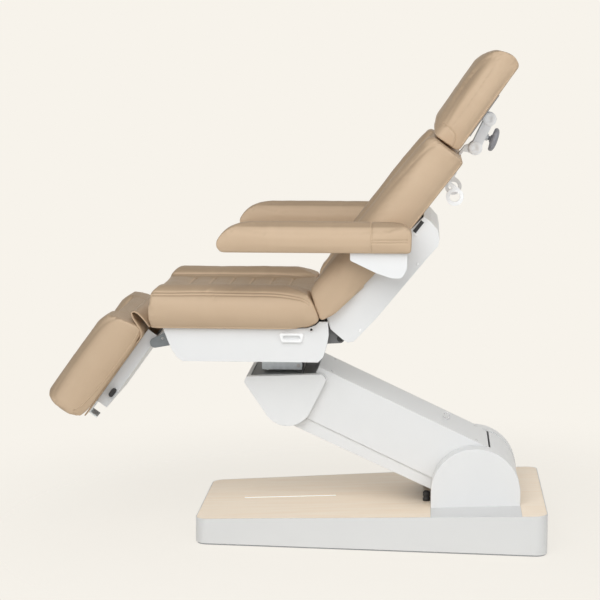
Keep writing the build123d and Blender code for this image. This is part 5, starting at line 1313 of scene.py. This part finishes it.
@dataclass
class Armrests:
    """Both armrests with their brackets, shaft and levelling rod."""

    base: SideFrame = field(default_factory=lambda: joint_frame("arm_shaft_turn"))
    reach: float = 0.350

    def build(self, finishes: Finishes) -> None:
        """Dresses the brackets and upholsters both pads."""
        dress(finishes.wing, "arm_bracket_near", "arm_bracket_far")
        dress(finishes.bright, "arm_shaft")
        dress(finishes.rail, "level_rod")
        for flank in Flank:
            self.pad(flank).build(finishes)

    def pad(self, flank: Flank) -> Pad:
        """Armrest pad with a sewn end cap."""
        name = flank.name.lower()
        upper = [(0.452, 0.0385), (0.5, 0.0385), (0.552, 0.0395)]
        lower = [(0.452, 0.031), (0.5, 0.031), (0.552, 0.032)]
        return Pad(
            "armrest_pad_" + name, "arm_pad_" + name, "arm_" + name, self.base, start=-0.525,
            level=0.046, height=0.086, half=0.048, middle=flank.value * self.reach,
            voxel=0.005, shrink=0.0015, swell=0.004, seams=[Seam(upper), Seam(lower)],
            belts=[0.450], calm=[(0.56, -0.02)], calm_base=0.01, fill=0.9,
        )


@dataclass
class LegRest:
    """Leg rest with its frame, carriage, latch, pad and the flap over the gap."""

    base: SideFrame = field(default_factory=lambda: joint_frame("leg_swing", 54.2))
    flap_line: Sequence[Pair] = (
        (-0.654, 0.659), (-0.667, 0.676), (-0.685, 0.695), (-0.699, 0.7035), (-0.7075, 0.700),
        (-0.705, 0.688), (-0.696, 0.672), (-0.685, 0.655), (-0.6795, 0.640), (-0.6825, 0.624),
        (-0.6935, 0.6105),
    )
    flap_half: float = 0.270
    flap_thickness: float = 0.0026
    flap_pitch: float = 0.006
    flap_steps: int = 24
    flap_ripples: Sequence[Triple] = ((0.0012, 19.0, 0.0), (0.0007, 41.0, 1.3))
    flap_calm: Pair = (0.62, 0.06)

    def build(self, finishes: Finishes) -> None:
        """Dresses the leg rest's nodes, upholsters it and hangs the flap."""
        dress(finishes.rail, "leg_frame")
        dress(finishes.plywood, "leg_board")
        dress(finishes.galvanised, "leg_end_bracket")
        dress(finishes.black, "leg_latch")
        pad = self.pad().build(finishes)
        self.flap(finishes)

    def pad(self) -> Pad:
        """Leg pad with cross channels and piping near its board."""
        skirt = [(0.022, 0.034), (0.05, 0.022), (0.12, 0.013), (0.2, 0.0095), (0.296, 0.0085),
                 (0.33, 0.014)]
        crease = [(0.012, 0.094), (0.03, 0.112), (0.10, 0.119), (0.2, 0.119), (0.28, 0.112),
                  (0.325, 0.09)]
        return Pad(
            "leg_pad", "leg_cushion", "leg_carriage", self.base, start=-0.316, level=0.044,
            height=0.136, half=0.290, panel=0.172, channels=channel_rows(0.078, 4),
            seams=[Seam(crease, Groove(0.0011, 0.0055), thread=False)], welts=[skirt],
            calm=[(0.33, -0.05)],
        )

    def flap(self, finishes: Finishes) -> None:
        """Folded sheet from the seat over the gap to the leg rest.

        Its ripples across the chair, each with a height, a rate and a phase, fade out downwards.

        Args:
            finishes: the chair's materials.
        """
        line = dense_line(self.flap_line, self.flap_pitch)
        start, width = self.flap_calm
        made = bmesh.new()
        verts = [made.verts.new((x, -self.flap_half, z)) for x, z in line]
        edges = [made.edges.new(pair) for pair in zip(verts, verts[1:])]
        step = Y_WAY * (2 * self.flap_half / self.flap_steps)
        for _ in range(self.flap_steps):
            grown = bmesh.ops.extrude_edge_only(made, edges=edges)["geom"]
            fresh = [item for item in grown if isinstance(item, bmesh.types.BMVert)]
            edges = [item for item in grown if isinstance(item, bmesh.types.BMEdge)
                     and all(vert in fresh for vert in item.verts)]
            bmesh.ops.translate(made, verts=fresh, vec=step)
        for vert in made.verts:
            ripple = sum(height * math.sin(rate * vert.co.y + phase)
                         for height, rate, phase in self.flap_ripples)
            vert.co.z += ripple * min(1.0, max(0.0, (vert.co.z - start) / width))
        bmesh.ops.recalc_face_normals(made, faces=made.faces)
        sheet = piece("gap_sheet", made, finishes.hide)
        wall = sheet.modifiers.new("wall", "SOLIDIFY")
        wall.thickness = self.flap_thickness
        wall.offset = 0.0
        settle(sheet)
        shade_smooth(sheet.data)
        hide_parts("gap_flap")
        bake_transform(sheet)


@dataclass
class Headrest:
    """Head post, link, plate, pad and hand wheel."""

    base: SideFrame = field(default_factory=lambda: joint_frame("headrest_turn", 55.0))
    wheel_radius: float = 0.0365
    wheel_thickness: float = 0.024
    wheel_reach: float = 0.040
    wheel_tilt: float = -19.0
    lobes: int = 8
    lobe_depth: float = 0.055
    lobe_root: float = 0.016
    neck_root: float = 0.012
    disc_radius: float = 0.0205
    disc_rise: float = 0.0022
    disc_edge: float = 0.0012
    disc_socket: float = 0.0075

    def build(self, finishes: Finishes) -> None:
        """Dresses the headrest's nodes, upholsters it and makes the hand wheel."""
        dress(finishes.bright, "head_post")
        dress(finishes.cast, "head_link")
        dress(finishes.steelwork, "head_plate")
        self.discs(finishes)
        self.wheel(finishes)
        self.pad().build(finishes)

    def discs(self, finishes: Finishes) -> None:
        """Round caps with a small socket over both of the link's joints."""
        low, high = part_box("head_link")
        made = bmesh.new()
        r, rise, root, shelf = self.disc_radius, self.disc_rise, -0.001, self.disc_rise * 0.6
        profile = [
            (0.0, root), (r, root), (r, shelf), (r - self.disc_edge, rise), (self.disc_socket, rise),
            (self.disc_socket - 0.0007, shelf), (0.0, shelf),
        ]
        for joint in ("head_link_turn", "headrest_turn"):
            centre = joint_frame(joint)
            for flank, face in ((Flank.NEAR, low.y), (Flank.FAR, high.y)):
                spot = centre.at(0.0, 0.0, face)
                add_turned(made, profile, up_matrix(spot, Y_WAY * flank.value, X_WAY), steps=40)
        caps = piece("link_caps", made, finishes.ivory)
        place_on(caps, "head_link", "head_link", replaces=False)

    def wheel(self, finishes: Finishes) -> None:
        """Lobed hand wheel with a hub on its stud.

        Its rim's points are radii and shares of half its thickness.
        """
        turn = math.radians(self.wheel_tilt)
        axis = Vector((math.cos(turn), 0, math.sin(turn)))
        place = up_matrix(joint_frame("knob_turn").at(0.0, 0.0), axis, Y_WAY)
        r, half, reach = self.wheel_radius, self.wheel_thickness / 2, self.wheel_reach
        rim = [
            (0.0, -1.0), (0.010, -1.0), (0.013, -0.72), (r - 0.010, -0.62), (r - 0.004, -0.56),
            (r - 0.0008, -0.3), (r, 0.0), (r - 0.0012, 0.32), (r - 0.005, 0.62), (r - 0.012, 0.85),
            (0.014, 0.97), (0.0, 1.0),
        ]
        made = bmesh.new()
        profile = [(radius, reach + share * half) for radius, share in rim]
        add_turned(made, profile, Matrix.Identity(4), steps=96)
        for vert in made.verts:
            radius = math.hypot(vert.co.x, vert.co.y)
            swing = math.cos(self.lobes * math.atan2(vert.co.y, vert.co.x))
            ripple = self.lobe_depth * (1 - swing) / 2
            share = 1 - ripple * min(1.0, max(0.0, (radius - self.lobe_root) / self.lobe_root))
            vert.co.x *= share
            vert.co.y *= share
        bmesh.ops.transform(made, matrix=place, verts=made.verts)
        foot, top = self.neck_root, reach - half + 0.001
        neck = [(0.0, foot), (0.0075, foot), (0.0075, foot + 0.008), (0.0065, foot + 0.010),
                (0.0065, top), (0.0, top)]
        add_turned(made, neck, place, steps=32)
        place_on(piece("hand_wheel", made, finishes.grip), "handwheel", "head_knob")

    def pad(self) -> Pad:
        """Head pad with its sewn lower corner."""
        crease = [(0.043, 0.079), (0.10, 0.086), (0.18, 0.093), (0.26, 0.0985), (0.292, 0.094)]
        corner = [(0.046, 0.086), (0.043, 0.06), (0.037, 0.038), (0.022, 0.026), (0.006, 0.021)]
        skirt = [(0.02, 0.0045), (0.1, 0.0045), (0.2, 0.0045), (0.285, 0.0045), (0.31, 0.012)]
        return Pad(
            "head_pad", "head_cushion", "headrest", self.base, start=-0.130, level=0.0245,
            height=0.106, half=0.165, voxel=0.005,
            seams=[Seam(crease, Groove(0.0010, 0.0055), thread=False),
                   Seam(corner, Groove(0.0016, 0.0026))],
            welts=[skirt], calm=[(-0.018, 0.06)], fill=0.9,
        )


@dataclass
class Studio:
    """Camera, soft lights, pale floor and backdrop."""

    eye: Triple = (0.170, -5.932, 1.516)
    aim: Triple = (-0.2255, 0.0, 0.708)
    lens: float = 117.0
    cream: Triple = (0.931, 0.896, 0.831)
    cool: Triple = (0.975, 0.988, 1.0)
    sky: Triple = (0.965, 0.985, 1.0)
    sky_strength: float = 0.52
    floor_radius: float = 3.2
    floor_colour: Triple = (0.90, 0.865, 0.80)
    floor_glow: float = 0.8
    floor_fade: Pair = (0.7, 1.9)
    floor_level: float = -0.001

    def build(self) -> None:
        """Makes everything that isn't the chair."""
        self.camera()
        self.world()
        self.floor()
        body, foot = (-0.1, 0.0, 0.6), (0.0, 0.0, 0.2)
        self.lamp("key", (-1.2, -5.2, 2.1), body, size=3.0, power=22.0)
        self.lamp("fill", (2.8, -3.6, 1.8), body, size=2.6, power=34.0)
        self.lamp("top", (-0.6, -3.0, 3.0), foot, size=3.0, power=74.0)
        bpy.context.scene.view_settings.view_transform = "Standard"

    @staticmethod
    def aimed(name: str, data: bpy.types.ID, place: Triple, aim: Triple) -> bpy.types.Object:
        """Camera or lamp at a place, turned towards another.

        Args:
            name: the object's name.
            data: its camera or light.
            place: where it stands.
            aim: what it points at.

        Returns:
            The object, linked to the scene.
        """
        made = bpy.data.objects.new(name, data)
        made.location = place
        made.rotation_euler = (Vector(aim) - Vector(place)).to_track_quat("-Z", "Y").to_euler()
        bpy.context.scene.collection.objects.link(made)
        return made

    def camera(self) -> None:
        """Camera at the photograph's angle."""
        data = bpy.data.cameras.new("camera")
        data.lens = self.lens
        data.sensor_width = 36.0
        data.clip_end = 60.0
        bpy.context.scene.camera = self.aimed("camera", data, self.eye, self.aim)

    def lamp(self, name: str, place: Triple, aim: Triple, size: float, power: float) -> None:
        """Soft square lamp.

        Args:
            name: the lamp's name.
            place: where it hangs.
            aim: what it points at.
            size: length of its side in metres.
            power: power in watts.
        """
        data = bpy.data.lights.new(name, "AREA")
        data.size = size
        data.energy = power
        data.color = self.cool
        self.aimed(name, data, place, aim)

    def world(self) -> None:
        """Even light, and a cream background for the camera, gloss and glass."""
        world = bpy.data.worlds.new("studio")
        world.use_nodes = True
        nodes = Nodes(world.node_tree)
        nodes.tree.nodes.clear()
        light = nodes.add("Background", Color=(*self.sky, 1.0), Strength=self.sky_strength)
        seen = nodes.add("Background", Color=(*self.cream, 1.0))
        mix = nodes.add("MixShader", nodes.seen_rays(), light.outputs[0], seen.outputs[0])
        nodes.add("OutputWorld", Surface=mix.outputs[0])
        bpy.context.scene.world = world

    def floor(self) -> None:
        """Pale floor that fades into the background."""
        made = bmesh.new()
        bmesh.ops.create_circle(made, cap_ends=True, segments=96, radius=self.floor_radius)
        bmesh.ops.translate(made, verts=made.verts, vec=(0, 0, self.floor_level))
        recipe = Recipe("studio_floor")
        recipe.set(Base_Color=(*self.floor_colour, 1.0), Roughness=0.9, Specular_IOR_Level=0.1)
        reach = recipe.add("VectorMath", recipe.place(), operation="LENGTH").outputs["Value"]
        start, end = self.floor_fade
        fade = recipe.span(reach, low=0.0, high=1.0, start=start, end=end, smooth=True)
        part = recipe.math("MULTIPLY", recipe.seen_rays(), self.floor_glow)
        glow = recipe.add("Emission", Color=(*self.cream, 1.0)).outputs["Emission"]
        lit = recipe.add("MixShader", part, recipe.shader.outputs["BSDF"], glow).outputs["Shader"]
        clear = recipe.add("BsdfTransparent").outputs["BSDF"]
        mix = recipe.add("MixShader", fade, lit, clear)
        recipe.feed(recipe.output.inputs["Surface"], mix.outputs["Shader"])
        piece("floor", made, recipe.material, smooth=False)


def main() -> None:
    """Builds the studio and every sub-assembly."""
    logging.basicConfig(level=logging.INFO, format="%(name)s: %(message)s")
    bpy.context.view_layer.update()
    Studio().build()
    finishes = Finishes()
    for assembly in (Plinth(), LiftArm(), Seat(), Back(), Armrests(), LegRest(), Headrest()):
        log.info("building %s", type(assembly).__name__)
        assembly.build(finishes)


if __name__ == "__main__":
    main()
